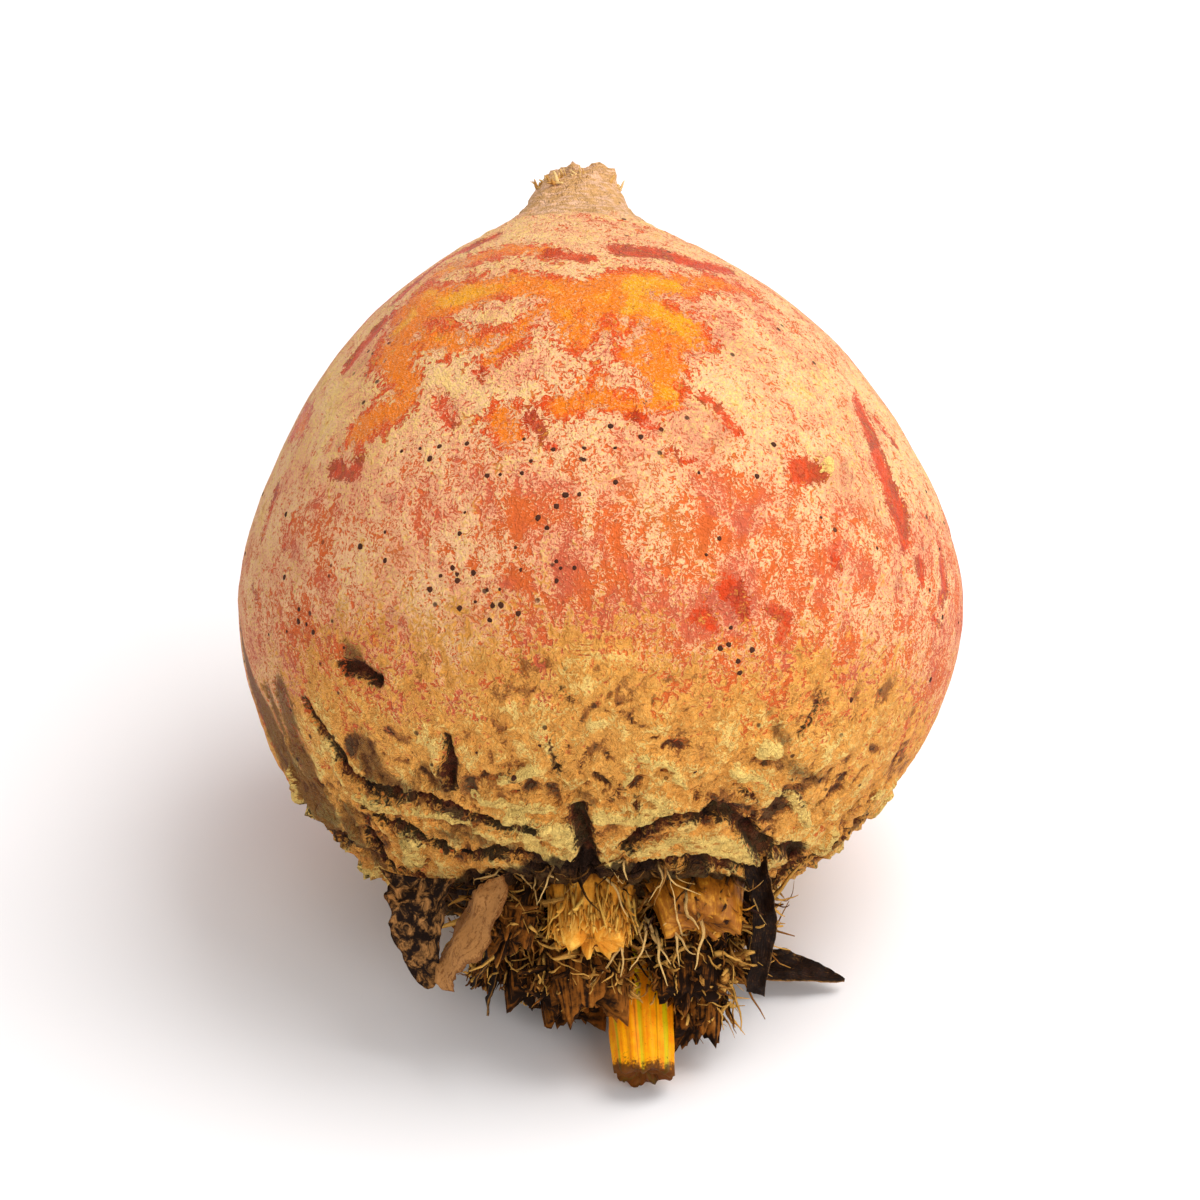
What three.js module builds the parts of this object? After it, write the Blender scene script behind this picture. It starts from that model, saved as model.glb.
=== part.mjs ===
// A golden-skinned beetroot lying on its side and crown, as it rests after its leaves were twisted off.
// Millimetres, +Z up. The origin is the centre of the small flat spot that the root rests on.
//
// Every piece is shaped in the beet's own frame: the origin at the middle of its widest girth, +Z
// towards the tap root, -Z towards the leaf crown. The group then tips the beet over.

import * as THREE from 'three';

// ---------------------------------------------------------------- driving dimensions

const GIRTH_RADIUS = 37.5; // the widest radius of the root
const CROWN_DEPTH = 34.9; // the girth to where the crown end would close if it were not flat
const CROWN_PLATE = 32.4; // the girth to the flat plate that the leaf stalks grew from
const CROWN_SOFTNESS = 1.6; // how gently the plate's edge turns into the shoulder
const ROOT_HEIGHT = 45.4; // the girth to the broken end of the tap root
const TAP_LEAN = 2.0; // how far the tap root has grown off the axis
const TILT = THREE.MathUtils.degToRad(46); // the axis from upright, crown end towards -Y
const FLAT_DEPTH = 0.6; // how deep the resting spot is pressed into the round
const GAP = 0.35; // clear space between neighbouring pieces

const AROUND = 76; // steps around the root
const ALONG = 46; // steps from crown to tap root
const STUB_AROUND = 12;
const STUB_ALONG = 5;

// Height along the axis and radius of the tap root side, from the girth to the broken end.
const SHOULDER = [
  [0, GIRTH_RADIUS], [7, 36.1], [13, 33.7], [20, 30.0], [26, 25.6], [31, 20.3], [35, 14.5],
  [38, 9.2], [40.2, 6.2], [42.2, 4.9], [43.8, 4.1], [ROOT_HEIGHT - 0.4, 2.6], [ROOT_HEIGHT, 0],
];

// Broader swells and dents of this root: where they are, how far they spread and how far out they push.
const SWELLS = [
  { angle: 0, height: 36, spread: 6, out: -1.6 }, // beside the tap root
  { angle: Math.PI, height: -26, spread: 9, out: 1.3 }, // the fuller side of the crown
  { angle: Math.PI, height: 14, spread: 10, out: -0.4 },
  { angle: 0.1, height: 10, spread: 8, out: -0.5 },
];

// ---------------------------------------------------------------- materials

const skin = (name, color, roughness) =>
  new THREE.MeshStandardMaterial({ name, color, roughness, metalness: 0 });

const MATERIALS = {
  root: skin('root_skin', 0xe0a066, 0.55),
  golden: skin('fresh_golden_stalk', 0xf7b302, 0.35),
  torn: skin('torn_golden_stalk', 0xd6952e, 0.7),
  amber: skin('dried_amber_stalk', 0x9b631e, 0.45),
  old: skin('old_brown_stalk', 0x7d4a1c, 0.85),
  papery: skin('papery_leaf_base', 0xa57a45, 0.75),
  dark: skin('dried_dark_leaf', 0x3a1f10, 0.7),
};

// ---------------------------------------------------------------- the root

// The outline from the crown's centre to the tap root's end, as [radius, height along the axis].
function rootOutline() {
  const crown = [];
  const steps = Math.round(ALONG * 0.52);
  for (let i = 0; i < steps; i += 1) {
    const angle = (Math.PI / 2) * (i / steps);
    const height = -CROWN_DEPTH * Math.cos(angle);
    // A soft minimum presses the round end flat at the crown plate.
    const pressed = CROWN_SOFTNESS * Math.log(Math.exp(-height / CROWN_SOFTNESS) + 1e-12);
    const excess = Math.max(pressed - CROWN_PLATE, 0);
    crown.push(new THREE.Vector2(GIRTH_RADIUS * Math.sin(angle), height + excess));
  }
  const shoulder = new THREE.SplineCurve(SHOULDER.map(([z, r]) => new THREE.Vector2(r, z)));
  return [...crown, ...shoulder.getPoints(ALONG - steps)];
}

// Low swellings make the root a grown thing: they fade out at the crown and at the tap root.
function swelling(angle, height, radius) {
  const fade = Math.cos((Math.PI / 2) * Math.min(Math.abs(height) / 42, 1));
  const low = 0.35 * Math.cos(2 * angle + 0.9) + 0.30 * Math.cos(3 * angle - 1.1 + height * 0.03);
  const high = 0.16 * Math.cos(5 * angle + 0.4 - height * 0.05) + 0.08 * Math.cos(9 * angle + 2.0);
  const broad = SWELLS.reduce((sum, swell) => {
    const turn = Math.atan2(Math.sin(angle - swell.angle), Math.cos(angle - swell.angle));
    const away = Math.hypot(turn * radius, height - swell.height) / swell.spread;
    return sum + swell.out * Math.exp(-away * away);
  }, 0);
  return (low + high) * fade + broad;
}

// How far the axis has grown sideways at a height: towards -X at the tap root.
function lean(height) {
  return -TAP_LEAN * Math.min(Math.max(height / 40, 0), 1) ** 1.4;
}

function growRoot() {
  const geometry = new THREE.LatheGeometry(rootOutline(), AROUND).rotateX(Math.PI / 2);
  const at = geometry.getAttribute('position');
  for (let i = 0; i < at.count; i += 1) {
    const [x, y, z] = [at.getX(i), at.getY(i), at.getZ(i)];
    const radius = Math.hypot(x, y);
    const angle = Math.atan2(y, x);
    const out = swelling(angle, z, radius) * Math.min(radius / 15, 1);
    const grown = radius < 1e-6 ? 0 : (radius + out) / radius;
    at.setXYZ(i, x * grown + lean(z), y * grown, z);
  }
  return geometry;
}

// World up, and the height of a point of the beet over the level of the girth's middle.
const UP = new THREE.Vector3(0, -Math.sin(TILT), Math.cos(TILT));

// Presses the lowest part of the round flat, and gives the middle of that flat.
function pressFlat(geometry) {
  const at = geometry.getAttribute('position');
  const point = new THREE.Vector3();
  let lowest = Infinity;
  for (let i = 0; i < at.count; i += 1) {
    lowest = Math.min(lowest, point.fromBufferAttribute(at, i).dot(UP));
  }
  const level = lowest + FLAT_DEPTH;
  const box = new THREE.Box3();
  for (let i = 0; i < at.count; i += 1) {
    point.fromBufferAttribute(at, i);
    const below = level - point.dot(UP);
    if (below > 0) {
      point.addScaledVector(UP, below);
      at.setXYZ(i, point.x, point.y, point.z);
      box.expandByPoint(point);
    }
  }
  return box.getCenter(new THREE.Vector3());
}

// ---------------------------------------------------------------- leaf stalks

// A stub of a leaf stalk: a rod of the given half width and half thickness that runs from a point
// above the crown plate to its end, hollowed along one side as leaf stalks are, with a torn end.
function stalkStub({ from, to, wide, thick, turn = 0, hollow = 0.25, ragged = 0.8, taper = 0.85 }) {
  const geometry = new THREE.CylinderGeometry(1, 1, 1, STUB_AROUND, STUB_ALONG);
  const start = new THREE.Vector3(...from);
  const end = new THREE.Vector3(...to);
  const axis = end.clone().sub(start);
  const across = new THREE.Vector3(Math.cos(turn), Math.sin(turn), 0);
  const outward = new THREE.Vector3().crossVectors(axis, across).normalize();
  const at = geometry.getAttribute('position');
  const spot = new THREE.Vector3();
  for (let i = 0; i < at.count; i += 1) {
    const [x, y, z] = [at.getX(i), at.getY(i), at.getZ(i)];
    const along = 0.5 - y; // 0 at the crown, 1 at the torn end
    const angle = Math.atan2(z, x);
    const rim = Math.min(Math.hypot(x, z), 1);
    const size = (1 - (1 - taper) * along) * (1 + 0.06 * Math.cos(3 * angle + wide));
    const groove = 1 - hollow * Math.max(Math.cos(angle - Math.PI / 2), 0) ** 2;
    const torn = ragged * rim * Math.max(along - 0.6, 0) * Math.cos(4 * angle + thick * 3);
    spot.copy(start).addScaledVector(axis, along);
    spot.addScaledVector(axis.clone().normalize(), torn);
    spot.addScaledVector(across, wide * size * x);
    spot.addScaledVector(outward, thick * size * z * groove);
    if (along < 1e-6) spot.z = start.z;
    at.setXYZ(i, spot.x, spot.y, spot.z);
  }
  return geometry;
}

// ---------------------------------------------------------------- dried leaf pieces

// A thin sheet of dried leaf along a curve: width(t) is its full width at t from 0 to 1, and
// curl is how far its long edges turn up out of the flat, as an angle.
function leafPiece({ through, across, width, curl = 0, thickness = 0.7, steps = 10, sides = 4 }) {
  const curve = new THREE.CatmullRomCurve3(through.map((p) => new THREE.Vector3(...p)));
  const side = new THREE.Vector3(...across).normalize();
  const geometry = new THREE.BoxGeometry(1, thickness, 1, sides, 1, steps);
  const at = geometry.getAttribute('position');
  for (let i = 0; i < at.count; i += 1) {
    const t = THREE.MathUtils.clamp(at.getZ(i) + 0.5, 0, 1);
    const tangent = curve.getTangent(t);
    const over = new THREE.Vector3().crossVectors(tangent, side).normalize();
    const flat = new THREE.Vector3().crossVectors(over, tangent).normalize();
    const half = Math.max(width(t), 0.8) / 2;
    const bend = 2 * at.getX(i) * curl;
    const radius = curl ? half / curl : 0;
    const spot = curve.getPoint(t);
    if (curl) {
      spot.addScaledVector(flat, (radius - at.getY(i)) * Math.sin(bend));
      spot.addScaledVector(over, radius - (radius - at.getY(i)) * Math.cos(bend));
    } else {
      spot.addScaledVector(flat, 2 * at.getX(i) * half).addScaledVector(over, at.getY(i));
    }
    at.setXYZ(i, spot.x, spot.y, spot.z);
  }
  return geometry;
}

// ---------------------------------------------------------------- assembly

const beet = new THREE.Group();

function add(name, geometry, material) {
  geometry.deleteAttribute('uv');
  geometry.computeVertexNormals();
  const mesh = new THREE.Mesh(geometry, MATERIALS[material].clone());
  mesh.name = name;
  beet.add(mesh);
}

const root = growRoot();
const flatMiddle = pressFlat(root);
add('beet_root', root, 'root');

const BASE = -CROWN_PLATE - GAP; // where every stub starts, just clear of the plate

add('stalk_stub_golden', stalkStub({
  from: [3.6, 0.2, BASE], to: [4.8, -3.5, -51.2], wide: 3.0, thick: 2.8, ragged: 0.4, hollow: 0.12, taper: 0.98,
}), 'golden');
add('stalk_stub_torn', stalkStub({
  from: [-0.6, -9.3, BASE], to: [-0.7, -11.4, -38.6], wide: 4.1, thick: 2.3, ragged: 1.6,
}), 'torn');
add('stalk_stub_amber', stalkStub({
  from: [9.4, -8.6, BASE], to: [10.2, -10.8, -37.2], wide: 4.6, thick: 2.2, turn: 0.25, ragged: 1.2,
}), 'amber');

// The old brown bases: where each starts on the plate, where it ends, and its half width and thickness.
const OLD_STUBS = [
  { from: [-1.6, -4.6], to: [-0.9, -7.4, -44.2], wide: 4.4, thick: 1.6 },
  { from: [9.6, -3.6], to: [9.2, -6.4, -43.4], wide: 3.6, thick: 1.7, turn: 0.2 },
  { from: [10.0, 1.4], to: [10.2, -1.2, -46.6], wide: 2.8, thick: 1.9 },
  { from: [-8.4, -6.6], to: [-9.0, -8.6, -38.4], wide: 3.0, thick: 2.3, turn: -0.5 },
  { from: [-6.6, -0.6], to: [-6.6, -2.0, -42.6], wide: 2.8, thick: 1.9, turn: -0.3 },
  { from: [-3.4, 4.6], to: [-2.6, 3.2, -44.2], wide: 3.4, thick: 1.8 },
  { from: [3.8, 5.8], to: [4.4, 5.2, -41.0], wide: 3.2, thick: 1.8 },
  { from: [10.6, 6.4], to: [11.6, 6.2, -39.4], wide: 2.9, thick: 2.2, turn: 0.6 },
  { from: [-9.8, 4.6], to: [-10.8, 4.6, -40.0], wide: 2.6, thick: 2.0, turn: -0.9 },
  { from: [-2.6, 9.8], to: [-2.8, 10.2, -37.4], wide: 3.4, thick: 1.8, turn: -0.2 },
  { from: [15.2, -1.4], to: [16.6, -2.0, -36.8], wide: 2.2, thick: 1.9, turn: 1.4 },
];
OLD_STUBS.forEach((stub, i) => {
  add(`stalk_stub_old_${i + 1}`, stalkStub({ ...stub, from: [...stub.from, BASE] }), 'old');
});

add('leaf_scale_left', leafPiece({
  through: [[-15.0, -10.2, -33.6], [-16.4, -9.4, -36.2], [-17.2, -7.4, -39.2], [-16.8, -5.4, -42.2]],
  across: [0.8, 0.3, 0.3],
  width: (t) => 10.5 * (1 - t) ** 0.7 + 1.0,
  curl: 1.0,
}), 'papery');
add('leaf_strip_right', leafPiece({
  through: [[16.2, -9.4, -32.8], [17.0, -8.6, -35.4], [16.8, -6.0, -38.8], [16.2, -2.6, -42.2]],
  across: [0.9, -0.4, 0],
  width: (t) => 2.9 - 0.8 * t,
}), 'dark');
add('leaf_tip_right', leafPiece({
  through: [[10.4, 10.3, -39.4], [14.8, 10.7, -38.6], [20.0, 10.3, -38.7], [25.2, 9.9, -39.3]],
  across: [0, 0.72, 0.7],
  width: (t) => 5.0 * Math.sin(Math.PI * (0.12 + 0.86 * t)) ** 0.7 + 0.4,
}), 'dark');

const SCRAPS = [
  { through: [[-10.4, -2.6, -37.0], [-11.6, -2.4, -39.6], [-12.6, -3.0, -41.8]], size: 2.4 },
  { through: [[-9.6, 0.8, -38.2], [-10.8, 1.0, -41.4], [-11.2, 1.6, -43.6]], size: 2.0 },
  { through: [[-12.6, -0.6, -34.6], [-14.4, -1.0, -36.6], [-15.6, -2.0, -38.2]], size: 2.6 },
];
SCRAPS.forEach(({ through, size }, i) => {
  add(`leaf_scrap_${i + 1}`, leafPiece({
    through, across: [0.3, -0.9, 0.2], width: (t) => size * (1 - 0.7 * t), steps: 6, sides: 2,
  }), 'dark');
});

// Tip the beet over onto its flat, and put the middle of the flat at the origin.
const part = new THREE.Group();
beet.rotation.x = -TILT;
beet.updateMatrix();
beet.position.copy(flatMiddle.applyMatrix4(beet.matrix)).negate();
part.add(beet);

export default part;
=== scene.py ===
import math

import bpy
import numpy as np
from bpy.props import FloatProperty, FloatVectorProperty, IntProperty, PointerProperty
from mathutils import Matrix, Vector
from mathutils.bvhtree import BVHTree


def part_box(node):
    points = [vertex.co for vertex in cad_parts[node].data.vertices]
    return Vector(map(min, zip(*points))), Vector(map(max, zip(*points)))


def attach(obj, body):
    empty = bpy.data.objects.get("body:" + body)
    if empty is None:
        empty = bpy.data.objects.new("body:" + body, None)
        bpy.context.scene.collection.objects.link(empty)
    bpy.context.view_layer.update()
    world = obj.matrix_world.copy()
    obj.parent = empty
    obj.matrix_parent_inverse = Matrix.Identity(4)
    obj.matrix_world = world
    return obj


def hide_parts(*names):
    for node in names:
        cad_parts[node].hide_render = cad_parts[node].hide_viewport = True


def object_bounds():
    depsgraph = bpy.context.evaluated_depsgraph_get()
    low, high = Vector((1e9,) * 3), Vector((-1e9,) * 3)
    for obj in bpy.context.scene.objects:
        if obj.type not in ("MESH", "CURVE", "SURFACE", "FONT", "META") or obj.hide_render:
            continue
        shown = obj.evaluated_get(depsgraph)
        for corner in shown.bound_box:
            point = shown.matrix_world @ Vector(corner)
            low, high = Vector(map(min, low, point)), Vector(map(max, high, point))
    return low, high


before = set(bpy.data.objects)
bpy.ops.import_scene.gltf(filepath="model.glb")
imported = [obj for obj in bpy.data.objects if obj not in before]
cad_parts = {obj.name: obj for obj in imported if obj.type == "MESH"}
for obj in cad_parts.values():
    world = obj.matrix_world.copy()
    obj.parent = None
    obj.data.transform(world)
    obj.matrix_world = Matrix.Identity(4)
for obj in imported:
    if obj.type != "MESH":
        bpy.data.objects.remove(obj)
CAD_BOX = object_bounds()

bl_info = {
    "name": "Golden beetroot",
    "version": (1, 0, 0),
    "blender": (4, 5, 0),
    "location": "View3D > Sidebar > Beetroot",
    "description": "Skin, stalk stubs and dried leaves of a golden beetroot, around its packed model",
    "category": "Add Mesh",
}

# The beet's own frame: millimetres from the middle of its girth, +Z to the tap root, -Z to the
# leaf crown, -Y to the side that faces up and forward. Angles go round the axis from +X, in degrees.
MM = 0.001
TILT = math.radians(46.0)
TILTED = np.array([
    [1.0, 0.0, 0.0],
    [0.0, math.cos(TILT), math.sin(TILT)],
    [0.0, -math.sin(TILT), math.cos(TILT)],
])
ROOT_LOW = np.array(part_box("beet_root")[0]) / MM
GIRTH_MIDDLE = ROOT_LOW + np.array([37.4, 36.3, 35.3])
CROWN_PLATE = -32.4


def to_row(points):
    """Points of the beet's own frame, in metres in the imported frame."""
    return (np.asarray(points) @ TILTED.T + GIRTH_MIDDLE) * MM


def to_beet(points):
    """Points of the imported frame, in metres, as millimetres of the beet's own frame."""
    return (np.asarray(points) / MM - GIRTH_MIDDLE) @ TILTED


def colour(code):
    """A linear colour from its six-digit screen code."""
    parts = [int(code[i:i + 2], 16) / 255 for i in (0, 2, 4)]
    return tuple(c / 12.92 if c <= 0.04045 else ((c + 0.055) / 1.055) ** 2.4 for c in parts)


# ------------------------------------------------------------------ settings

def tone(name, code, description):
    return FloatVectorProperty(
        name=name, description=description, subtype="COLOR", size=3, min=0, max=1,
        default=colour(code),
    )


class RootSettings(bpy.types.PropertyGroup):
    """What the swollen root looks like."""

    scurf: tone("Scurf", "ffca98", "Pale dry scurf that covers most of the skin")
    blush: tone("Pink scurf", "f8ab80", "Scurf with the skin's pink in it")
    salmon: tone("Salmon skin", "e4682a", "Live skin that shows through the scurf")
    rose: tone("Rose skin", "da6440", "Live skin with the most pink in it")
    amber: tone("Amber skin", "dd8434", "Live skin with the most yellow in it")
    orange: tone("Bare orange skin", "fb8000", "Skin with the scurf rubbed off, near the tap root")
    yellow: tone("Yellow glow", "ffa800", "The palest parts of the bare skin")
    ember: tone("Red-orange skin", "e04004", "Edges of the bare patches, and scratches")
    cork: tone("Cork", "fcb250", "Corky skin around the crown")
    pale_cork: tone("Pale cork", "ffd678", "Torn plates of cork where leaves broke off")
    soil: tone("Crevice", "1e0c03", "The bottoms of cracks and folds")
    wrinkle: FloatProperty(
        name="Crown wrinkle", description="Height of the folds near the crown, in mm", default=0.56
    )
    around: IntProperty(name="Steps around", description="Vertices round the girth", default=512)
    along: IntProperty(name="Steps along", description="Rings from crown to tap root", default=192)


class StalkSettings(bpy.types.PropertyGroup):
    """What the stalk stubs look like."""

    golden: tone("Golden stalk", "ffac00", "The fresh stalk's flesh")
    lime: tone("Yellow-green stalk", "b9b400", "The fresh stalk's pale ribs")
    straw: tone("Straw", "eeb458", "Torn and dry fibres")
    brown: tone("Brown", "8a5018", "Old stalk bases")
    umber: tone("Umber", "1c0c03", "The oldest, darkest tissue")
    strands: IntProperty(name="Strands", description="Loose strands on one old stub", default=210)


class LeafSettings(bpy.types.PropertyGroup):
    """What the dried leaf pieces look like."""

    dark: tone("Dried leaf", "2a150b", "The leaf blade")
    rim: tone("Leaf edge", "b07c3e", "Worn edges and veins")
    papery: tone("Papery base", "b98148", "The outside of the papery leaf base")


class StageSettings(bpy.types.PropertyGroup):
    """Camera, floor and lights."""

    elevation: FloatProperty(
        name="Elevation", description="Camera angle above the floor", default=math.radians(34.5),
        subtype="ANGLE",
    )
    distance: FloatProperty(name="Distance", description="Camera to beet", default=0.9, unit="LENGTH")
    frame_width: FloatProperty(
        name="Frame width", description="Width seen at the beet's distance", default=0.124, unit="LENGTH"
    )
    overhead: FloatProperty(name="Overhead light", description="Softbox power", default=3.9, unit="POWER")
    ambient: FloatProperty(name="Ambient light", description="World strength", default=0.66)


# ------------------------------------------------------------------ noise in numbers

def lattice(cells, seed):
    """A repeatable value from -1 to 1 for each integer cell."""
    mixed = cells[..., 0] * 73856093 ^ cells[..., 1] * 19349663 ^ cells[..., 2] * 83492791
    mixed = mixed ^ (seed * 2654435761)
    mixed = (mixed ^ (mixed >> 13)) * 1274126177 & 0x7FFFFFFF
    mixed = (mixed ^ (mixed >> 11)) * 668265263 & 0x7FFFFFFF
    return (mixed & 0xFFFFFF) / 0x7FFFFF - 1.0


def noise(points, size, seed=0):
    """Smooth noise from -1 to 1 whose lumps are about size across."""
    scaled = np.asarray(points) / size
    cell = np.floor(scaled).astype(np.int64)
    part = scaled - cell
    part = part * part * (3 - 2 * part)
    total = 0.0
    for corner in np.ndindex(2, 2, 2):
        weight = np.prod(np.where(np.array(corner) == 1, part, 1 - part), axis=-1)
        total = total + weight * lattice(cell + np.array(corner), seed)
    return total


def rough(points, size, seed=0, octaves=3):
    """Noise with finer and finer detail."""
    return sum(noise(points, size / 2 ** k, seed + k) / 2 ** k for k in range(octaves))


def smooth(value, low, high):
    """0 below low, 1 above high, and smooth between."""
    t = np.clip((value - low) / (high - low), 0, 1)
    return t * t * (3 - 2 * t)


# ------------------------------------------------------------------ shader expressions

class Value:
    """A shader socket that takes part in Python expressions."""

    def __init__(self, shader, socket):
        self.shader, self.socket = shader, socket
        self.is_number = socket.type == "VALUE"

    def combine(self, operation, first, second=None):
        numbers = all(not isinstance(v, Value) or v.is_number for v in (first, second))
        kind = "ShaderNodeMath" if numbers else "ShaderNodeVectorMath"
        given = [v for v in (first, second) if v is not None]
        if not numbers:
            given = [(v, v, v) if isinstance(v, (int, float)) else v for v in given]
        return self.shader.node(kind, {"operation": operation}, dict(enumerate(given)))

    def __add__(self, other):
        return self.combine("ADD", self, other)

    def __radd__(self, other):
        return self.combine("ADD", other, self)

    def __sub__(self, other):
        return self.combine("SUBTRACT", self, other)

    def __rsub__(self, other):
        return self.combine("SUBTRACT", other, self)

    def __mul__(self, other):
        return self.combine("MULTIPLY", self, other)

    def __rmul__(self, other):
        return self.combine("MULTIPLY", other, self)

    def __truediv__(self, other):
        return self.combine("DIVIDE", self, other)

    def __pow__(self, other):
        return self.combine("POWER", self, other)


class Finish:
    """A material and the ways to build its nodes."""

    def __init__(self, name, **constants):
        self.material = bpy.data.materials.new(name)
        self.material.use_nodes = True
        self.tree = self.material.node_tree
        self.surface = next(n for n in self.tree.nodes if n.type == "BSDF_PRINCIPLED")
        for socket, value in constants.items():
            self.surface.inputs[socket.replace("_", " ")].default_value = value

    def node(self, kind, settings=None, inputs=None, output=0):
        made = self.tree.nodes.new(kind)
        for key, value in (settings or {}).items():
            if key == "stops":
                ramp = made.color_ramp
                while len(ramp.elements) < len(value):
                    ramp.elements.new(0.5)
                for element, (place, shade) in zip(ramp.elements, value):
                    element.position, element.color = place, (*shade, 1.0)
            else:
                setattr(made, key, value)
        for key, value in (inputs or {}).items():
            socket = made.inputs[key]
            if isinstance(value, Value):
                self.tree.links.new(value.socket, socket)
            elif socket.type == "RGBA":
                socket.default_value = (*value, 1.0) if len(value) == 3 else value
            else:
                socket.default_value = value
        return Value(self, made.outputs[output])

    def attribute(self, name, output="Fac"):
        return self.node("ShaderNodeAttribute", {"attribute_name": name}, output=output)

    def noise(self, place, per_mm, detail=2.0, roughness=0.55, distortion=0.0):
        inputs = {"Vector": place, "Scale": per_mm, "Detail": detail, "Roughness": roughness,
                  "Distortion": distortion}
        return self.node("ShaderNodeTexNoise", inputs=inputs)

    def cells(self, place, per_mm):
        return self.node("ShaderNodeTexVoronoi", {"feature": "F1"}, {"Vector": place, "Scale": per_mm})

    def step(self, value, low, high):
        inputs = {"Value": value, "From Min": low, "From Max": high}
        return self.node("ShaderNodeMapRange", {"interpolation_type": "SMOOTHSTEP"}, inputs)

    def mix(self, under, over, share):
        inputs = {"Factor": share, 6: under, 7: over}
        return self.node("ShaderNodeMix", {"data_type": "RGBA"}, inputs, output=2)

    def darken(self, shade, amount):
        return self.mix(shade, (0.0, 0.0, 0.0), amount)

    def feed(self, **links):
        for socket, value in links.items():
            self.tree.links.new(value.socket, self.surface.inputs[socket.replace("_", " ")])

    def bump(self, height, distance, strength=1.0):
        inputs = {"Height": height, "Distance": distance, "Strength": strength}
        self.feed(Normal=self.node("ShaderNodeBump", inputs=inputs))


# ------------------------------------------------------------------ meshes

class Shape:
    """Collects closed strands, sheets and stubs, with numbers per vertex, in the beet's own frame."""

    def __init__(self):
        self.points, self.faces, self.data, self.count = [], [], {}, 0

    def add(self, points, faces, **data):
        self.points.append(points)
        self.faces.extend([[corner + self.count for corner in face] for face in faces])
        for key, value in data.items():
            self.data.setdefault(key, []).append(np.broadcast_to(value, (len(points),) + np.shape(value)[1:]))
        self.count += len(points)

    def rings(self, rings, **data):
        """Joins rings of points, (rings, around, 3), into a closed body with flat ends."""
        rows, around = rings.shape[:2]
        index = np.arange(rows * around).reshape(rows, around)
        nextcol = np.roll(index, -1, axis=1)
        quads = np.stack([index[:-1], nextcol[:-1], nextcol[1:], index[1:]], axis=-1).reshape(-1, 4)
        faces = quads.tolist() + [index[0][::-1].tolist(), index[-1].tolist()]
        flat = {key: np.reshape(value, (rows * around,) + np.shape(value)[2:]) for key, value in data.items()}
        self.add(rings.reshape(-1, 3), faces, **flat)

    def strand(self, path, thickness, tint, sides=4, flat=1.0):
        """A tapering thread along a path, (n, 3)."""
        tangent = np.gradient(path, axis=0)
        tangent /= np.linalg.norm(tangent, axis=1, keepdims=True) + 1e-9
        helper = np.array([0.31, 0.83, 0.46]) if abs(tangent[0, 0]) > 0.6 else np.array([0.92, 0.1, 0.38])
        side = np.cross(tangent, helper)
        side /= np.linalg.norm(side, axis=1, keepdims=True) + 1e-9
        other = np.cross(tangent, side)
        turn = np.arange(sides) * 2 * math.pi / sides
        along = np.linspace(0, 1, len(path))
        radius = thickness / 2 * (1 - 0.75 * along ** 2)
        ring = flat * np.cos(turn)[None, :, None] * side[:, None] + np.sin(turn)[None, :, None] * other[:, None]
        rings = path[:, None] + radius[:, None, None] * ring
        whole = (len(path), sides)
        self.rings(
            rings,
            tint=np.full(whole, tint),
            along=np.broadcast_to(along[:, None], whole),
            across=np.broadcast_to(turn[None] / 6.3, whole),
            hollow=np.zeros(whole),
        )

    def build(self, name, finish, replaced=()):
        """Makes the piece, shades it smooth, rides it on the body and hides the parts it stands for."""
        mesh = bpy.data.meshes.new(name)
        mesh.from_pydata(to_row(np.concatenate(self.points)).tolist(), [], self.faces)
        for key, chunks in self.data.items():
            values = np.concatenate(chunks).astype(np.float32)
            kind = "FLOAT_VECTOR" if values.ndim == 2 else "FLOAT"
            layer = mesh.attributes.new(key, kind, "POINT")
            layer.data.foreach_set("vector" if values.ndim == 2 else "value", values.ravel())
        mesh.polygons.foreach_set("use_smooth", [True] * len(mesh.polygons))
        mesh.materials.append(finish.material)
        mesh.update()
        piece = bpy.data.objects.new(name, mesh)
        bpy.context.scene.collection.objects.link(piece)
        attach(piece, "root")
        if replaced:
            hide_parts(*replaced)
        return piece


def wander(generator, start, heading, length, curl=0.25, droop=0.0, steps=8):
    """A path of the given length that sets out along heading and strays from it."""
    heading = np.asarray(heading, float) / (np.linalg.norm(heading) + 1e-9)
    path = [np.asarray(start, float)]
    drift = generator.normal(0, curl, 3)
    for _ in range(steps - 1):
        heading = heading + (drift + generator.normal(0, curl, 3)) * 0.5 + np.array([0, 0.719, -0.695]) * droop
        heading /= np.linalg.norm(heading)
        path.append(path[-1] + heading * length / (steps - 1))
    return np.array(path)


# ------------------------------------------------------------------ the swollen root

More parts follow.
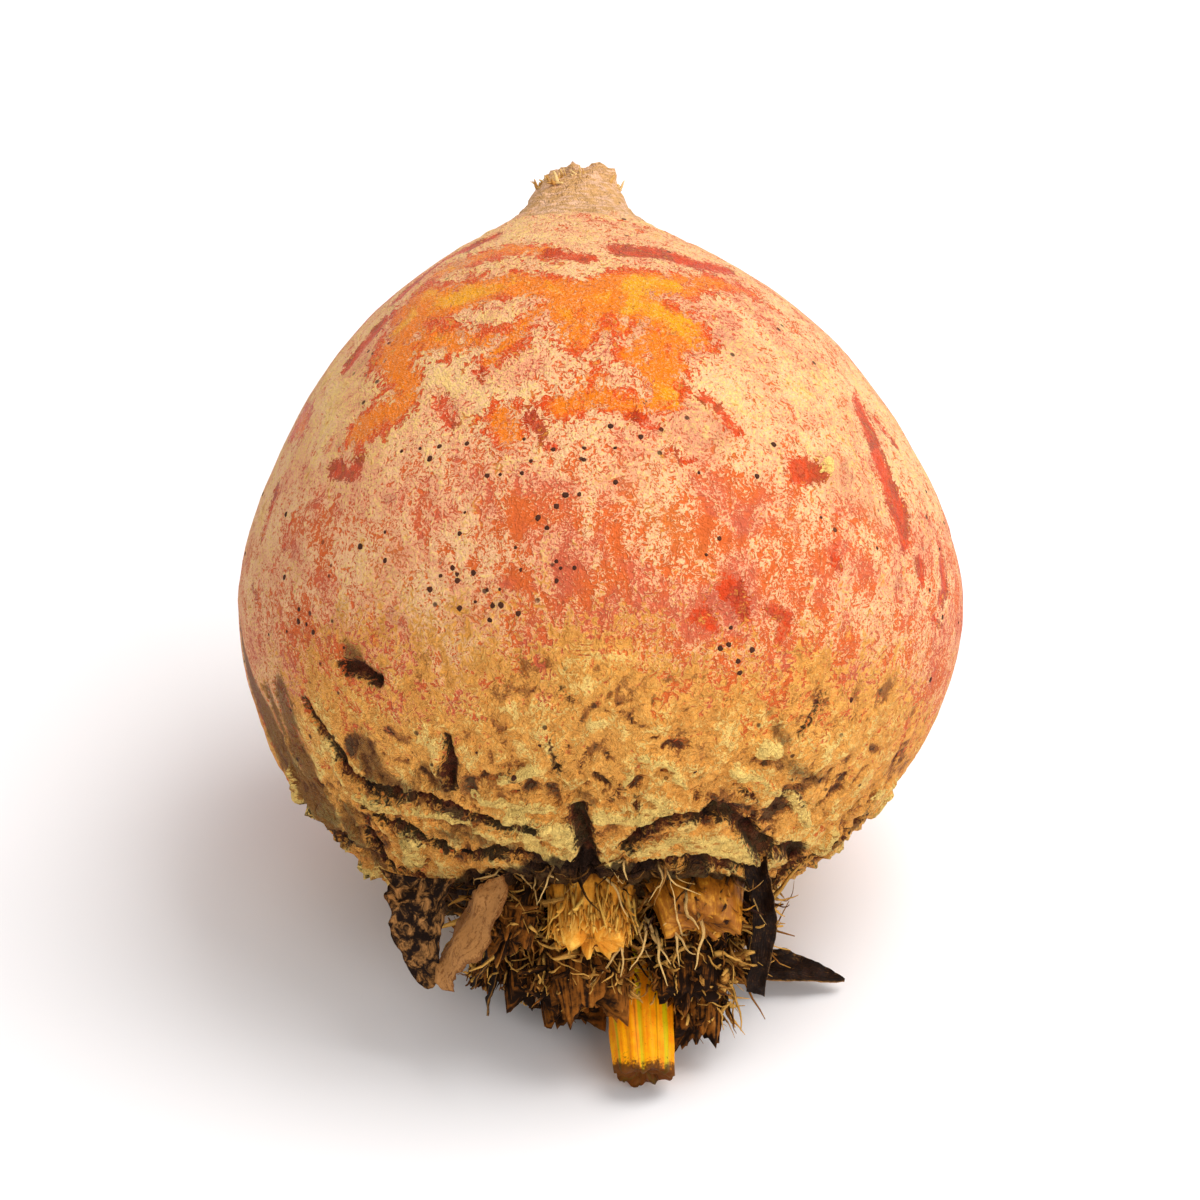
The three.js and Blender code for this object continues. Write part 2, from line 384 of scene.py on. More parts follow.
# Strokes on the root: corners as (angle, height), half width at the start and at the end, in mm.
# BARE is skin with its scurf rubbed off, EMBER red scratches, TRENCH cracks, RIDGE torn pale plates.
BARE = [
    ([(-130, 25.4), (-120, 26.5), (-110, 27.0), (-100, 26.2)], 1.9, 1.6),
    ([(-100, 26.7), (-96, 23.8), (-94, 20.2)], 1.5, 1.0),
    ([(-135, 26.7), (-134, 23.5), (-134, 20.2)], 1.9, 1.6),
    ([(-133, 19.7), (-127, 17.1), (-127, 15.9)], 1.4, 0.8),
    ([(-126, 14.1), (-129, 13.2), (-134, 11.7)], 1.0, 1.3),
    ([(-127, 21.2), (-116, 19.9), (-113, 20.6)], 0.9, 0.7),
    ([(-111, 18.1), (-105, 21.3), (-102, 23.9)], 0.5, 0.4),
    ([(-137, 30.5), (-129, 31.6), (-117, 32.3), (-103, 31.6)], 0.8, 0.9),
    ([(-90, 25.2), (-81, 27.2), (-70, 27.9), (-58, 28.3), (-46, 27.6)], 2.3, 0.4),
    ([(-83, 24.8), (-77, 23.2), (-70, 23.0)], 1.7, 1.0),
    ([(-72, 21.5), (-78, 20.0), (-84, 18.3)], 1.2, 0.8),
    ([(-78, 17.0), (-79, 14.8), (-78, 13.2)], 1.7, 1.2),
    ([(-96, 12.4), (-89, 13.2), (-83, 12.9), (-78, 13.4)], 0.7, 0.7),
    ([(-92, 15.5), (-89, 15.7)], 0.3, 0.3),
    ([(-76, 19.2), (-68, 20.0)], 0.3, 0.2),
    ([(-90, 22.4), (-84, 21.8)], 0.3, 0.3),
    ([(-106, 10.5), (-104, 8.4)], 0.9, 0.6),
]
EMBER = [
    ([(-83, 32.7), (-71, 32.8), (-60, 30.9), (-46, 30.9)], 0.9, 0.5),
    ([(-103, 31.3), (-94, 31.2)], 0.7, 0.4),
    ([(-135, 35.3), (-141, 34.2), (-148, 32.8), (-148, 28.3)], 0.4, 0.5),
    ([(-148, 21.2), (-145, 23.8), (-144, 25.8)], 0.6, 0.5),
    ([(-32, 16.6), (-33, 12.3), (-34, 7.2), (-33, 4.0)], 0.5, 0.9),
    ([(-33, 4.0), (-32, 2.0), (-34, 0.7)], 0.9, 0.3),
    ([(-28, 14.9), (-24, 12.5)], 0.3, 0.3),
    ([(-56, 6.5), (-52, 6.3)], 0.9, 0.6),
    ([(-51, -1.3), (-50, -2.8)], 0.2, 0.2),
    ([(-29, -0.6), (-28, -2.3)], 0.3, 0.2),
    ([(-20, 0.5), (-19, -2.3), (-21, -3.9)], 0.3, 0.3),
    ([(-23, -5.4), (-20, -6.1)], 0.2, 0.2),
    ([(-157, 8.0), (-158, 3.7)], 0.3, 0.2),
    ([(-150, 3.0), (-150, 0.6)], 0.3, 0.2),
    ([(-138, 8.4), (-133, 7.1), (-132, 8.0)], 0.5, 0.3),
    ([(-118, 13.4), (-115, 10.6)], 0.5, 0.3),
    ([(-113, 17.4), (-111, 15.7)], 0.2, 0.2),
    ([(-101, 11.1), (-99, 9.1)], 0.4, 0.3),
    ([(-83, 11.0), (-80, 9.5)], 0.5, 0.3),
    ([(-68, 11.2), (-66, 10.1)], 0.4, 0.3),
    ([(-71, 14.0), (-69, 13.0)], 0.4, 0.3),
    ([(-97, 7.9), (-97, 6.8)], 0.4, 0.2),
    ([(-78, 7.2), (-75, 5.9)], 0.2, 0.2),
    ([(-61, -7.9), (-59, -8.5), (-59, -11.2)], 0.3, 0.2),
    ([(-73, -9.2), (-72, -10.2)], 0.5, 0.3),
    ([(-130, -9.3), (-130, -10.6)], 0.3, 0.3),
    ([(-69, -6.8), (-66, -9.2)], 0.7, 0.4),
]
TRENCH = [
    ([(-151, -14.4), (-150, -16.6), (-150, -18.9), (-150, -21.2), (-145, -23.5)], 0.3, 0.6),
    ([(-145, -23.5), (-133, -24.8), (-126, -26.2), (-116, -27.4), (-106, -28.2)], 0.6, 0.3),
    ([(-95, -26.7), (-94, -27.9), (-93, -29.8), (-95, -32.2)], 0.8, 1.0),
    ([(-82, -29.6), (-77, -28.6), (-69, -27.0), (-59, -26.7), (-48, -27.7), (-36, -29.0)], 0.5, 0.9),
    ([(-152, -24.4), (-149, -26.1), (-143, -27.0), (-142, -28.4)], 0.5, 0.5),
    ([(-139, -28.7), (-133, -29.9), (-120, -29.6), (-113, -30.3)], 0.7, 0.5),
    ([(-162, -30.7), (-162, -32.0), (-134, -32.0)], 0.9, 0.7),
    ([(-161, -26.8), (-168, -29.0), (-164, -30.6)], 0.5, 0.7),
    ([(-120, -19.8), (-120, -21.9), (-123, -23.9)], 0.3, 0.6),
    ([(-48, -15.4), (-48, -17.2), (-49, -19.2)], 0.4, 0.2),
    ([(-87, -26.2), (-84, -25.3), (-80, -25.6), (-80, -26.8)], 0.3, 0.3),
    ([(-113, -31.2), (-103, -31.6), (-87, -31.8), (-75, -31.5)], 0.6, 0.6),
    ([(-75, -31.1), (-62, -30.4), (-46, -30.2), (-32, -30.2)], 0.6, 0.7),
    ([(-31, -28.3), (-20, -28.6), (-13, -29.6)], 1.0, 0.9),
    ([(-2, -28.5), (-4, -26.2)], 0.3, 0.5),
    ([(-99, -21.3), (-98, -23.5)], 0.2, 0.3),
    ([(-96, -16.5), (-95, -17.8)], 0.2, 0.2),
    ([(-61, -24.7), (-54, -25.2), (-48, -26.6)], 0.3, 0.3),
    ([(-46, -22.7), (-38, -24.9)], 0.2, 0.3),
    ([(-110, -23.7), (-108, -24.5)], 0.3, 0.3),
    ([(-138, -12.0), (-134, -13.0), (-131, -14.1)], 0.6, 0.4),
]
RIDGE = [
    ([(-50, 7.4), (-50, 6.8)], 0.8, 0.6),
    ([(-151, -23.4), (-143, -25.1), (-131, -26.3), (-125, -27.6), (-113, -28.8), (-106, -29.3)], 0.5, 0.5),
    ([(-146, -27.8), (-154, -29.2)], 1.3, 1.2),
    ([(-111, -27.4), (-105, -28.5), (-98, -29.0)], 1.2, 1.4),
    ([(-110, -30.0), (-101, -30.6)], 1.0, 1.0),
    ([(-89, -27.5), (-82, -27.7), (-73, -26.4)], 1.0, 0.8),
    ([(-88, -30.8), (-76, -31.1)], 0.7, 0.6),
    ([(-79, -30.1), (-70, -29.4), (-66, -28.8)], 0.8, 0.6),
    ([(-62, -29.1), (-52, -29.0), (-38, -29.4)], 1.3, 1.0),
    ([(-57, -21.4), (-54, -20.8)], 1.2, 1.0),
    ([(-61, -23.2), (-56, -23.8), (-48, -24.1)], 0.6, 0.5),
    ([(-42, -24.6), (-33, -26.1)], 0.8, 0.7),
    ([(-103, -23.6), (-108, -24.1), (-112, -24.4)], 0.7, 0.5),
    ([(-118, -25.4), (-110, -26.5), (-101, -26.7)], 0.6, 0.6),
    ([(-80, -22.5), (-75, -23.0), (-71, -24.6)], 0.5, 0.4),
    ([(-83, -23.5), (-83, -24.8)], 0.4, 0.4),
    ([(-76, -26.2), (-65, -26.3), (-51, -26.9)], 0.3, 0.3),
]
# Dark stains, and painted shade: the strokes from -159 to -178 degrees are painted shade over dark brown skin on the
# left side towards the crown, and the first of them is painted shade alone.
STAIN_AND_SHADE = [
    ([(-178, -4.0), (-172, -14.0), (-174, -24.0)], 2.0, 4.2),
    ([(-141, -19.6), (-141, -22.3), (-134, -24.1)], 1.9, 1.2),
    ([(-129, -22.9), (-125, -24.4), (-120, -22.5)], 1.0, 0.8),
    ([(-159, -12.0), (-164, -18.2), (-168, -23.9)], 1.6, 2.2),
    ([(-135, -27.9), (-122, -28.7), (-111, -29.7)], 1.0, 0.7),
    ([(-161, -24.5), (-172, -28.3)], 1.6, 1.6),
    ([(-51, -21.5), (-43, -22.3), (-38, -22.7)], 0.8, 0.7),
    ([(-93, -26.3), (-94, -25.2)], 0.7, 0.5),
    ([(-57, -18.1), (-51, -20.4)], 0.6, 0.8),
    ([(-136, -11.0), (-134, -12.5), (-131, -13.7)], 1.3, 0.9),
]
DOTS = [
    (-120.5, 9.1), (-118.4, 7.7), (-116.4, 8.8), (-111.9, 8.1), (-107.7, 4.7), (-105.7, 5.2), (-101.9, 4.7),
    (-100.4, 6.5), (-102.2, 8.2), (-97.2, 7.6), (-92.0, 7.4), (-92.4, 5.9), (-87.2, 7.1), (-93.0, 2.7),
    (-94.9, 2.0), (-96.5, 1.5), (-98.8, 0.2), (-97.6, -0.6), (-86.9, 4.3), (-74.1, 5.4), (-59.6, 8.6),
    (-64.0, 5.4), (-53.0, 1.4), (-40.5, -0.1), (-71.0, -1.5), (-124.0, 8.8), (-111.5, -0.9), (-110.9, 1.0),
    (-112.9, -4.2), (-112.2, -5.2), (-115.0, -5.1), (-112.6, -5.6), (-110.0, -5.3), (-107.6, -6.7), (-105.5, -7.0),
    (-102.8, -3.1), (-101.7, -4.9), (-105.4, -8.2), (-106.9, -8.2), (-107.6, -9.8), (-109.4, -7.8), (-95.5, -4.8),
    (-96.1, -6.3), (-93.8, -4.8), (-96.5, -4.6), (-102.4, -9.1), (-112.2, -8.4), (-125.3, -2.8), (-130.0, -0.7),
    (-125.0, 0.5), (-68.4, -10.3), (-69.7, -12.2), (-66.2, -13.3), (-63.7, -12.4), (-65.3, -14.4), (-68.0, -11.7),
    (-73.0, -3.0), (-145.6, -5.6), (-144.1, -7.3), (-142.6, -8.5), (-150.7, -7.6), (-136.1, -10.6), (-117.2, -6.4),
    (-40.3, -15.2), (-88.2, 9.5), (-83.3, 9.0), (-40.3, -15.3), (-107.3, -24.2), (-69.6, -23.7), (-114.3, -21.7),
    (-101.4, -21.4),
]


def scattered(seed, count, angles, heights, length, half, slope):
    """Strokes strewn over the sides that the lists above leave empty."""
    generator = np.random.default_rng(seed)
    strokes = []
    for _ in range(count):
        angle, height = generator.uniform(*angles), generator.uniform(*heights)
        lean, run = generator.normal(0, slope), generator.uniform(0.4, 1.0) * length
        corners = [(angle, height)]
        for _ in range(2):
            lean += generator.normal(0, 0.35)
            angle, height = angle + run * math.cos(lean) * 1.9, height + run * math.sin(lean)
            corners.append((angle, height))
        wide = generator.uniform(0.5, 1.0) * half
        strokes.append((corners, wide, wide * generator.uniform(0.3, 1.0)))
    return strokes


BARE_ALL = [(corners, 1.25 * a + 0.9, 1.25 * b + 0.7) for corners, a, b in BARE]
BARE_ALL += scattered(3, 22, (-15, 215), (12, 31), 5.0, 1.8, 0.5)
EMBER_ALL = [(corners, 1.7 * a + 0.3, 1.7 * b + 0.25) for corners, a, b in EMBER]
EMBER_ALL += scattered(5, 34, (-10, 220), (-8, 22), 2.4, 0.5, 1.4)
TRENCH_ALL = TRENCH + scattered(7, 34, (-12, 178), (-31, -17), 5.0, 0.7, 0.5)
RIDGE_ALL = RIDGE + scattered(9, 34, (-20, 180), (-31, -20), 3.6, 1.1, 0.4)
STAIN_AND_SHADE_ALL = STAIN_AND_SHADE + scattered(11, 22, (-10, 205), (-29, -8), 2.6, 1.8, 0.7)


def stroke_field(base, warped, strokes):
    """How deep each vertex lies inside the nearest stroke, in mm: positive inside, negative outside."""
    angle = np.degrees(np.arctan2(base[..., 1], base[..., 0]))
    depth = np.full(base.shape[:-1], -3.0)
    for corners, first, last in strokes:
        spots = []
        for turn, height in corners:
            aside = np.radians((angle - turn + 180) % 360 - 180) * 28.0
            spots.append(base.reshape(-1, 3)[np.argmin(aside ** 2 + (base[..., 2] - height) ** 2)])
        for k in range(len(spots) - 1):
            run = spots[k + 1] - spots[k]
            share = np.clip(((warped - spots[k]) @ run) / (run @ run + 1e-9), 0, 1)
            half = first + (last - first) * (k + share) / (len(spots) - 1)
            gap = np.linalg.norm(warped - spots[k] - share[..., None] * run, axis=-1)
            depth = np.maximum(depth, half - gap)
    return depth


def sampled_root(columns, rings):
    """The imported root's surface as a grid of points in its own frame, (rings, columns, 3)."""
    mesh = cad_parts["beet_root"].data
    tree = BVHTree.FromPolygons(
        [Vector(p) for p in to_beet([v.co for v in mesh.vertices])], [list(p.vertices) for p in mesh.polygons]
    )
    coarse, dense = 96, 420
    tilts = np.linspace(0.004, math.pi - 0.012, dense)
    lift = 39.0 * smooth(tilts, math.pi * 0.45, math.pi * 0.97)
    sideways = -2.0 * smooth(lift, 5.0, 39.0)
    found = np.zeros((dense, coarse, 3))
    for j in range(coarse):
        turn = 2 * math.pi * j / coarse
        for i in range(dense):
            heading = Vector((math.sin(tilts[i]) * math.cos(turn), math.sin(tilts[i]) * math.sin(turn),
                              -math.cos(tilts[i])))
            hit = tree.ray_cast(Vector((sideways[i], 0.0, lift[i])), heading)[0]
            if hit is None:
                raise RuntimeError("a ray from inside the root missed its surface")
            found[i, j] = hit
    # Even steps along each meridian, then a light blur that hides the facets.
    gaps = np.linalg.norm(np.diff(found, axis=0), axis=2)
    travelled = np.vstack([np.zeros(coarse), np.cumsum(gaps, axis=0)])
    # Rings lie closest together near the crown, where the relief is finest, and at the tap root.
    fine_grid = np.linspace(0, 1, 2000)
    density = 1 + 2.2 * (1 - smooth(fine_grid, 0.36, 0.50)) + 1.2 * smooth(fine_grid, 0.84, 0.92)
    running = np.cumsum(density)
    share = np.interp(np.linspace(running[0], running[-1], rings), running, fine_grid)
    even = np.zeros((rings, coarse, 3))
    for j in range(coarse):
        for axis in range(3):
            even[:, j, axis] = np.interp(share * travelled[-1, j], travelled[:, j], found[:, j, axis])
    kernel = np.exp(-np.linspace(-2, 2, 9) ** 2 / 2)
    kernel /= kernel.sum()
    padded = np.pad(even, ((4, 4), (0, 0), (0, 0)), mode="edge")
    blurred = sum(k * padded[n:n + rings] for n, k in enumerate(kernel))
    edge = np.minimum(share, 1 - share)[:, None, None]
    even = np.where(edge > 0.03, blurred, even)
    # Band-limited upsampling round the girth.
    spectrum = np.fft.rfft(even, axis=1)
    spectrum *= (np.arange(spectrum.shape[1]) < 26)[None, :, None]
    full = np.zeros((rings, columns // 2 + 1, 3), complex)
    full[:, :spectrum.shape[1]] = spectrum
    return np.fft.irfft(full, n=columns, axis=1) * columns / coarse


def grid_normals(points):
    """Outward normals of a grid that closes on itself round its columns."""
    round_it = np.roll(points, -1, axis=1) - np.roll(points, 1, axis=1)
    normal = np.cross(round_it, np.gradient(points, axis=0))
    return normal / (np.linalg.norm(normal, axis=2, keepdims=True) + 1e-9)


def grown_root(settings):
    """The root's grid with its relief, and what the skin's finish needs to know at each vertex."""
    base = sampled_root(settings.around, settings.along)
    normal = grid_normals(base)
    height = base[..., 2]
    warped = base + np.stack([rough(base, 3.2, s, 2) for s in (11, 12, 13)], axis=-1) * 0.55

    ragged_height = height + 3.4 * rough(base, 9.0, 21)
    cork = smooth(-ragged_height, 2.0, 24.0)
    crown = smooth(-height, 19.0, 27.0)
    stump = smooth(height + 0.8 * noise(base, 2.5, 23), 37.5, 40.0)
    broken = smooth(height, 42.6, 44.2)
    bare, ember = stroke_field(base, warped, BARE_ALL), stroke_field(base, warped, EMBER_ALL)
    deep = stroke_field(base, warped, [stroke for stroke in TRENCH_ALL if max(stroke[1:]) > 0.45])
    shallow = stroke_field(base, warped, [stroke for stroke in TRENCH_ALL if max(stroke[1:]) <= 0.45]) - 0.3
    trench, ridge = np.maximum(deep, shallow), stroke_field(base, warped, RIDGE_ALL)
    stain = stroke_field(base, warped, STAIN_AND_SHADE_ALL)

    out = 0.20 * rough(base, 14.0, 1) + 0.08 * rough(base, 4.5, 2) + 0.03 * rough(base, 1.5, 3)
    # Curled corky folds, deeper towards the crown.
    curl = base + np.stack([rough(base, 2.4, s, 2) for s in (24, 25, 26)], axis=-1) * 1.3
    folds = 1 - 2.1 * np.abs(rough(curl * np.array([0.75, 0.75, 1.0]), 2.7, 31, 3))
    small = 1 - 2.3 * np.abs(rough(curl, 1.35, 33, 2))
    lumps = rough(curl, 4.2, 35, 2)
    fold = smooth(cork, 0.25, 1.0) * (0.6 * folds + 0.4 * small + 0.45 * lumps - 0.30)
    out = out + settings.wrinkle * fold * (0.40 + 1.0 * crown)
    # Torn plates stand up with a crisp edge and cracks cut down between them.
    grain = rough(warped * np.array([0.5, 0.5, 1.8]), 1.2, 61, 3)
    plate = smooth(ridge, -0.25, 0.3)
    cut = smooth(deep, -0.45, 0.35)
    out = out + plate * (0.75 + 0.16 * grain) * (1 - cut) - 1.2 * cut - 0.3 * smooth(shallow, -0.5, 0.1)
    out = out + 0.35 * smooth(deep, -1.7, -0.6) * (1 - cut) * crown
    out = out - 0.22 * smooth(stain, -1.2, 0.8) - 0.07 * smooth(bare, -0.3, 0.4) - 0.1 * smooth(ember, -0.2, 0.3)
    # Rings at the foot of the tap root and its ragged end.
    ring = np.sin(height * 2 * math.pi / 1.15 + 2.4 * rough(base, 3.5, 41))
    neck = smooth(height, 33.5, 36.5) * (1 - smooth(height, 41.0, 42.6))
    out = out + neck * 0.12 * ring + stump * 0.22 * rough(base, 2.0, 43, 3) + broken * 0.8 * rough(base, 1.3, 44)
    hub = smooth(-height + 0.8 * noise(base, 2.0, 72), 30.2, 31.6)
    out = out + hub * 0.5 * rough(base, 1.7, 71, 3)

    # Scurf lies thickest above the girth and thinnest on the side that faces up.
    facing = np.exp(-(((base - np.array([10.0, -35.0, -2.0])) / np.array([13.0, 9.0, 9.0])) ** 2).sum(axis=-1))
    dust = 0.20 * smooth(height, 1.0, 12.0) + 0.08 * smooth(-base[..., 0], -4.0, 14.0) - 0.13 * facing

    # The very ends stay closed, and the root keeps to its side of the floor.
    rows = np.arange(len(base))
    ends = smooth(np.minimum(rows, len(base) - 1 - rows), 0, 4)[:, None]
    points = base + normal * (out * ends)[..., None]
    floor = to_row(points)[..., 2] / MM
    points = points + np.maximum(0.02 - floor, 0)[..., None] * TILTED[2]
    data = {
        "grown": points, "bare": bare, "ember": ember, "cork": cork, "trench": trench, "ridge": ridge,
        "fold": fold, "dust": dust, "stain": stain, "stump": stump, "hub": hub,
    }
    return points, data


def skin_finish(settings):
    """Waxy orange skin under pale scurf, turning to cracked cork at the crown."""
    skin = Finish("root_skin", Specular_IOR_Level=0.18)
    place = skin.attribute("grown", "Vector")
    lengthwise = place * (1.0, 1.0, 0.5)
    bare, ember, cork = skin.attribute("bare"), skin.attribute("ember"), skin.attribute("cork")
    trench, ridge, stain = skin.attribute("trench"), skin.attribute("ridge"), skin.attribute("stain")
    stump, hub, fold = skin.attribute("stump"), skin.attribute("hub"), skin.attribute("fold")
    dust = skin.attribute("dust")

    broad = skin.noise(place, 0.06, 2.0, 0.5)
    blotch = skin.noise(place, 0.17, 3.0, 0.6, 0.6)
    patchy = skin.noise(lengthwise, 0.42, 4.0, 0.65, 0.8)
    worms = skin.noise(place, 1.05, 2.0, 0.6, 1.6)
    threads = skin.noise(place, 1.9, 2.0, 0.6, 1.2)
    fine = skin.noise(place, 3.6, 2.0, 0.7)
    curls = skin.node("ShaderNodeMath", {"operation": "ABSOLUTE"}, {0: worms - 0.5})
    hairs = skin.node("ShaderNodeMath", {"operation": "ABSOLUTE"}, {0: threads - 0.5})

    # Live skin, and the pale curly scurf over it.
    live = skin.mix(settings.salmon, settings.rose, skin.step(blotch, 0.44, 0.62))
    live = skin.mix(live, settings.amber, skin.step(broad, 0.50, 0.66) * 0.6)
    live = skin.mix(live, settings.ember, skin.step(patchy + fine * 0.3, 0.74, 0.86) * 0.55)
    scurf = skin.mix(settings.scurf, settings.blush, skin.step(blotch, 0.40, 0.62))
    scurf = skin.mix(scurf, settings.pale_cork, skin.step(fine, 0.56, 0.74) * 0.5 + cork * 0.3)
    cover = 0.62 - curls * 2.6 - hairs * 1.4 + (patchy - 0.5) * 1.5 + (fine - 0.5) * 0.9
    cover = cover + (broad - 0.5) * 0.6 + dust
    whole = skin.mix(live, scurf, skin.step(cover, 0.22, 0.48) * 0.9)
    whole = skin.mix(whole, settings.pale_cork, skin.step(fine * 0.6 + cover * 0.6, 0.66, 0.82) * 0.7)
    dusk = skin.step(blotch + (fine - 0.5) * 0.3, 0.60, 0.74) * skin.step(broad, 0.36, 0.52)
    whole = skin.mix(whole, colour("a2564e"), dusk * 0.28)

    # Rubbed-off patches, crisp at their ragged edges, with curls of scurf left in them.
    rubbed = skin.step(bare + (patchy - 0.5) * 10.0 + (worms - 0.5) * 7.0 + (fine - 0.5) * 2.4, -0.06, 0.10)
    glow = skin.step(bare * 0.20 + (blotch - 0.5) * 2.6 + (fine - 0.5) * 0.6, 0.34, 0.80)
    naked = skin.mix(settings.orange, settings.yellow, glow)
    rim = skin.step(0.34 - bare * 0.26 + (patchy - 0.5) * 2.6 + (worms - 0.5) * 1.2, 0.12, 0.50)
    naked = skin.mix(naked, settings.ember, rim * 0.9)
    left_over = (1.0 - skin.step(hairs, 0.014, 0.05)) * skin.step(fine, 0.42, 0.58)
    naked = skin.mix(naked, settings.scurf, left_over * 0.5)
    whole = skin.mix(whole, naked, rubbed)
    scratch = skin.step(ember + (patchy - 0.5) * 2.6 + (worms - 0.5) * 2.6 + (fine - 0.5) * 1.8, 0.0, 0.14)
    whole = skin.mix(whole, skin.mix(settings.ember, colour("b02c06"), skin.step(patchy, 0.45, 0.6)), scratch * 0.9)

    # Cork around the crown: pale on its folds, partly its own colour and partly a painted highlight, and dark between
    # them.
    tan = skin.mix(settings.cork, colour("e6983c"), skin.step(patchy, 0.44, 0.62))
    tan = skin.mix(tan, settings.pale_cork, skin.step(fold + (fine - 0.5) * 1.2 - curls * 3.0, -0.02, 0.46))
    hollows = (patchy - 0.5) * 1.6 - fold * 1.1 + (fine - 0.5) * 1.3 + curls + cork * 0.3
    tan = skin.mix(tan, colour("8a460c"), skin.step(hollows, 0.56, 1.02) * 0.85)
    creases = (worms - 0.5) * 1.4 - fold * 1.2 + (fine - 0.5) * 0.8 + cork * 0.8
    tan = skin.mix(tan, settings.soil, skin.step(creases, 1.45, 1.80) * 0.92)
    corky = skin.step(cork + (patchy - 0.5) * 2.2 + (worms - 0.5) * 1.6 + (fine - 0.5) * 0.8, 0.28, 0.66)
    whole = skin.mix(whole, tan, corky * 0.9)
    # Dark stains, and painted shade on the left side towards the crown.
    grime_and_shade = skin.step(stain + (patchy - 0.5) * 2.6 + (worms - 0.5) * 2.0, -0.5, 0.9)
    whole = skin.mix(whole, colour("4f2a10"), grime_and_shade * 0.74)
    grains = skin.noise(place * (0.5, 0.5, 2.2), 1.3, 3.0, 0.65)
    pale = skin.mix(settings.pale_cork, colour("c9853a"), skin.step(grains + (fine - 0.5) * 0.4, 0.50, 0.72))
    whole = skin.mix(whole, pale, skin.step(ridge + (worms - 0.5) * 1.4 + (fine - 0.5) * 0.4, -0.1, 0.1))

    # The foot of the tap root and its broken end.
    woody = skin.mix(colour("f2bf98"), colour("d9a468"), skin.step(grains + stump * 0.08, 0.46, 0.64))
    woody = skin.mix(woody, colour("8b5a26"), skin.step(fine * 0.5 + patchy * 0.5, 0.54, 0.66) * 0.8)
    whole = skin.mix(whole, woody, skin.step(stump + (patchy - 0.5) * 0.8, 0.3, 0.8))

    # Cracks, the dark hub under the stalks and pin-prick pores.
    cracked = skin.step(trench + (worms - 0.5) * 1.6 + (fine - 0.5) * 0.8, -0.55, -0.05)
    whole = skin.mix(whole, skin.mix(settings.soil, colour("5a2413"), skin.step(patchy, 0.46, 0.6)), cracked * 0.95)
    whole = skin.mix(whole, colour("2c160a"), skin.step(hub + (patchy - 0.5) * 0.8, 0.35, 0.7) * 0.92)
    pores = skin.cells(place, 0.42)
    spotty = skin.step(skin.noise(place, 0.09, 1.0), 0.53, 0.60)
    pore = (1.0 - skin.step(pores, 0.075, 0.13)) * spotty * (1.0 - rubbed)
    whole = skin.mix(whole, colour("3a1c12"), pore * 0.85)

    skin.feed(Base_Color=whole, Roughness=0.68 - rubbed * 0.24 - scratch * 0.2 + cork * 0.12 - fine * 0.1)
    layers = cover * 0.7 - curls * cork * 2.0 + fine * 0.3 + fold * 0.25 - rubbed * 0.4 - pore * 0.8 - cracked * 0.6
    skin.bump(layers, 0.00042, 1.0)
    return skin


def pore_dots(grown, settings):
    """Small dark lens-shaped pores, set just into the skin."""
    normal = grid_normals(grown)
    angle = np.degrees(np.arctan2(grown[..., 1], grown[..., 0]))
    generator = np.random.default_rng(31)
    extra = zip(generator.uniform(-30, 215, 46), generator.uniform(-12, 10, 46))
    shape = Shape()
    for turn, height in [*DOTS, *extra]:
        aside = np.radians((angle - turn + 180) % 360 - 180) * 34.0
        row, column = np.unravel_index(np.argmin(aside ** 2 + (grown[..., 2] - height) ** 2), angle.shape)
        spot, up = grown[row, column], normal[row, column]
        side = np.cross(up, [0.1, 0.2, 1.0])
        side /= np.linalg.norm(side)
        other = np.cross(up, side)
        size = generator.uniform(0.17, 0.34)
        rings = []
        for share, rise in ((0.5, -0.12), (1.0, 0.0), (0.55, 0.05)):
            turns = np.arange(8) * math.pi / 4
            radius = size * share * (1 + generator.normal(0, 0.12, 8))
            ring = np.cos(turns)[:, None] * side + np.sin(turns)[:, None] * other
            rings.append(spot + ring * radius[:, None] + up * rise)
        shape.rings(np.array(rings))
    pores = Finish("pores", Specular_IOR_Level=0.2, Roughness=0.8)
    where = pores.node("ShaderNodeTexCoord", output="Object") * 1000.0
    pores.feed(Base_Color=pores.mix(settings.soil, colour("5a2f1c"), pores.noise(where, 0.8)))
    shape.build("skin_pores", pores)


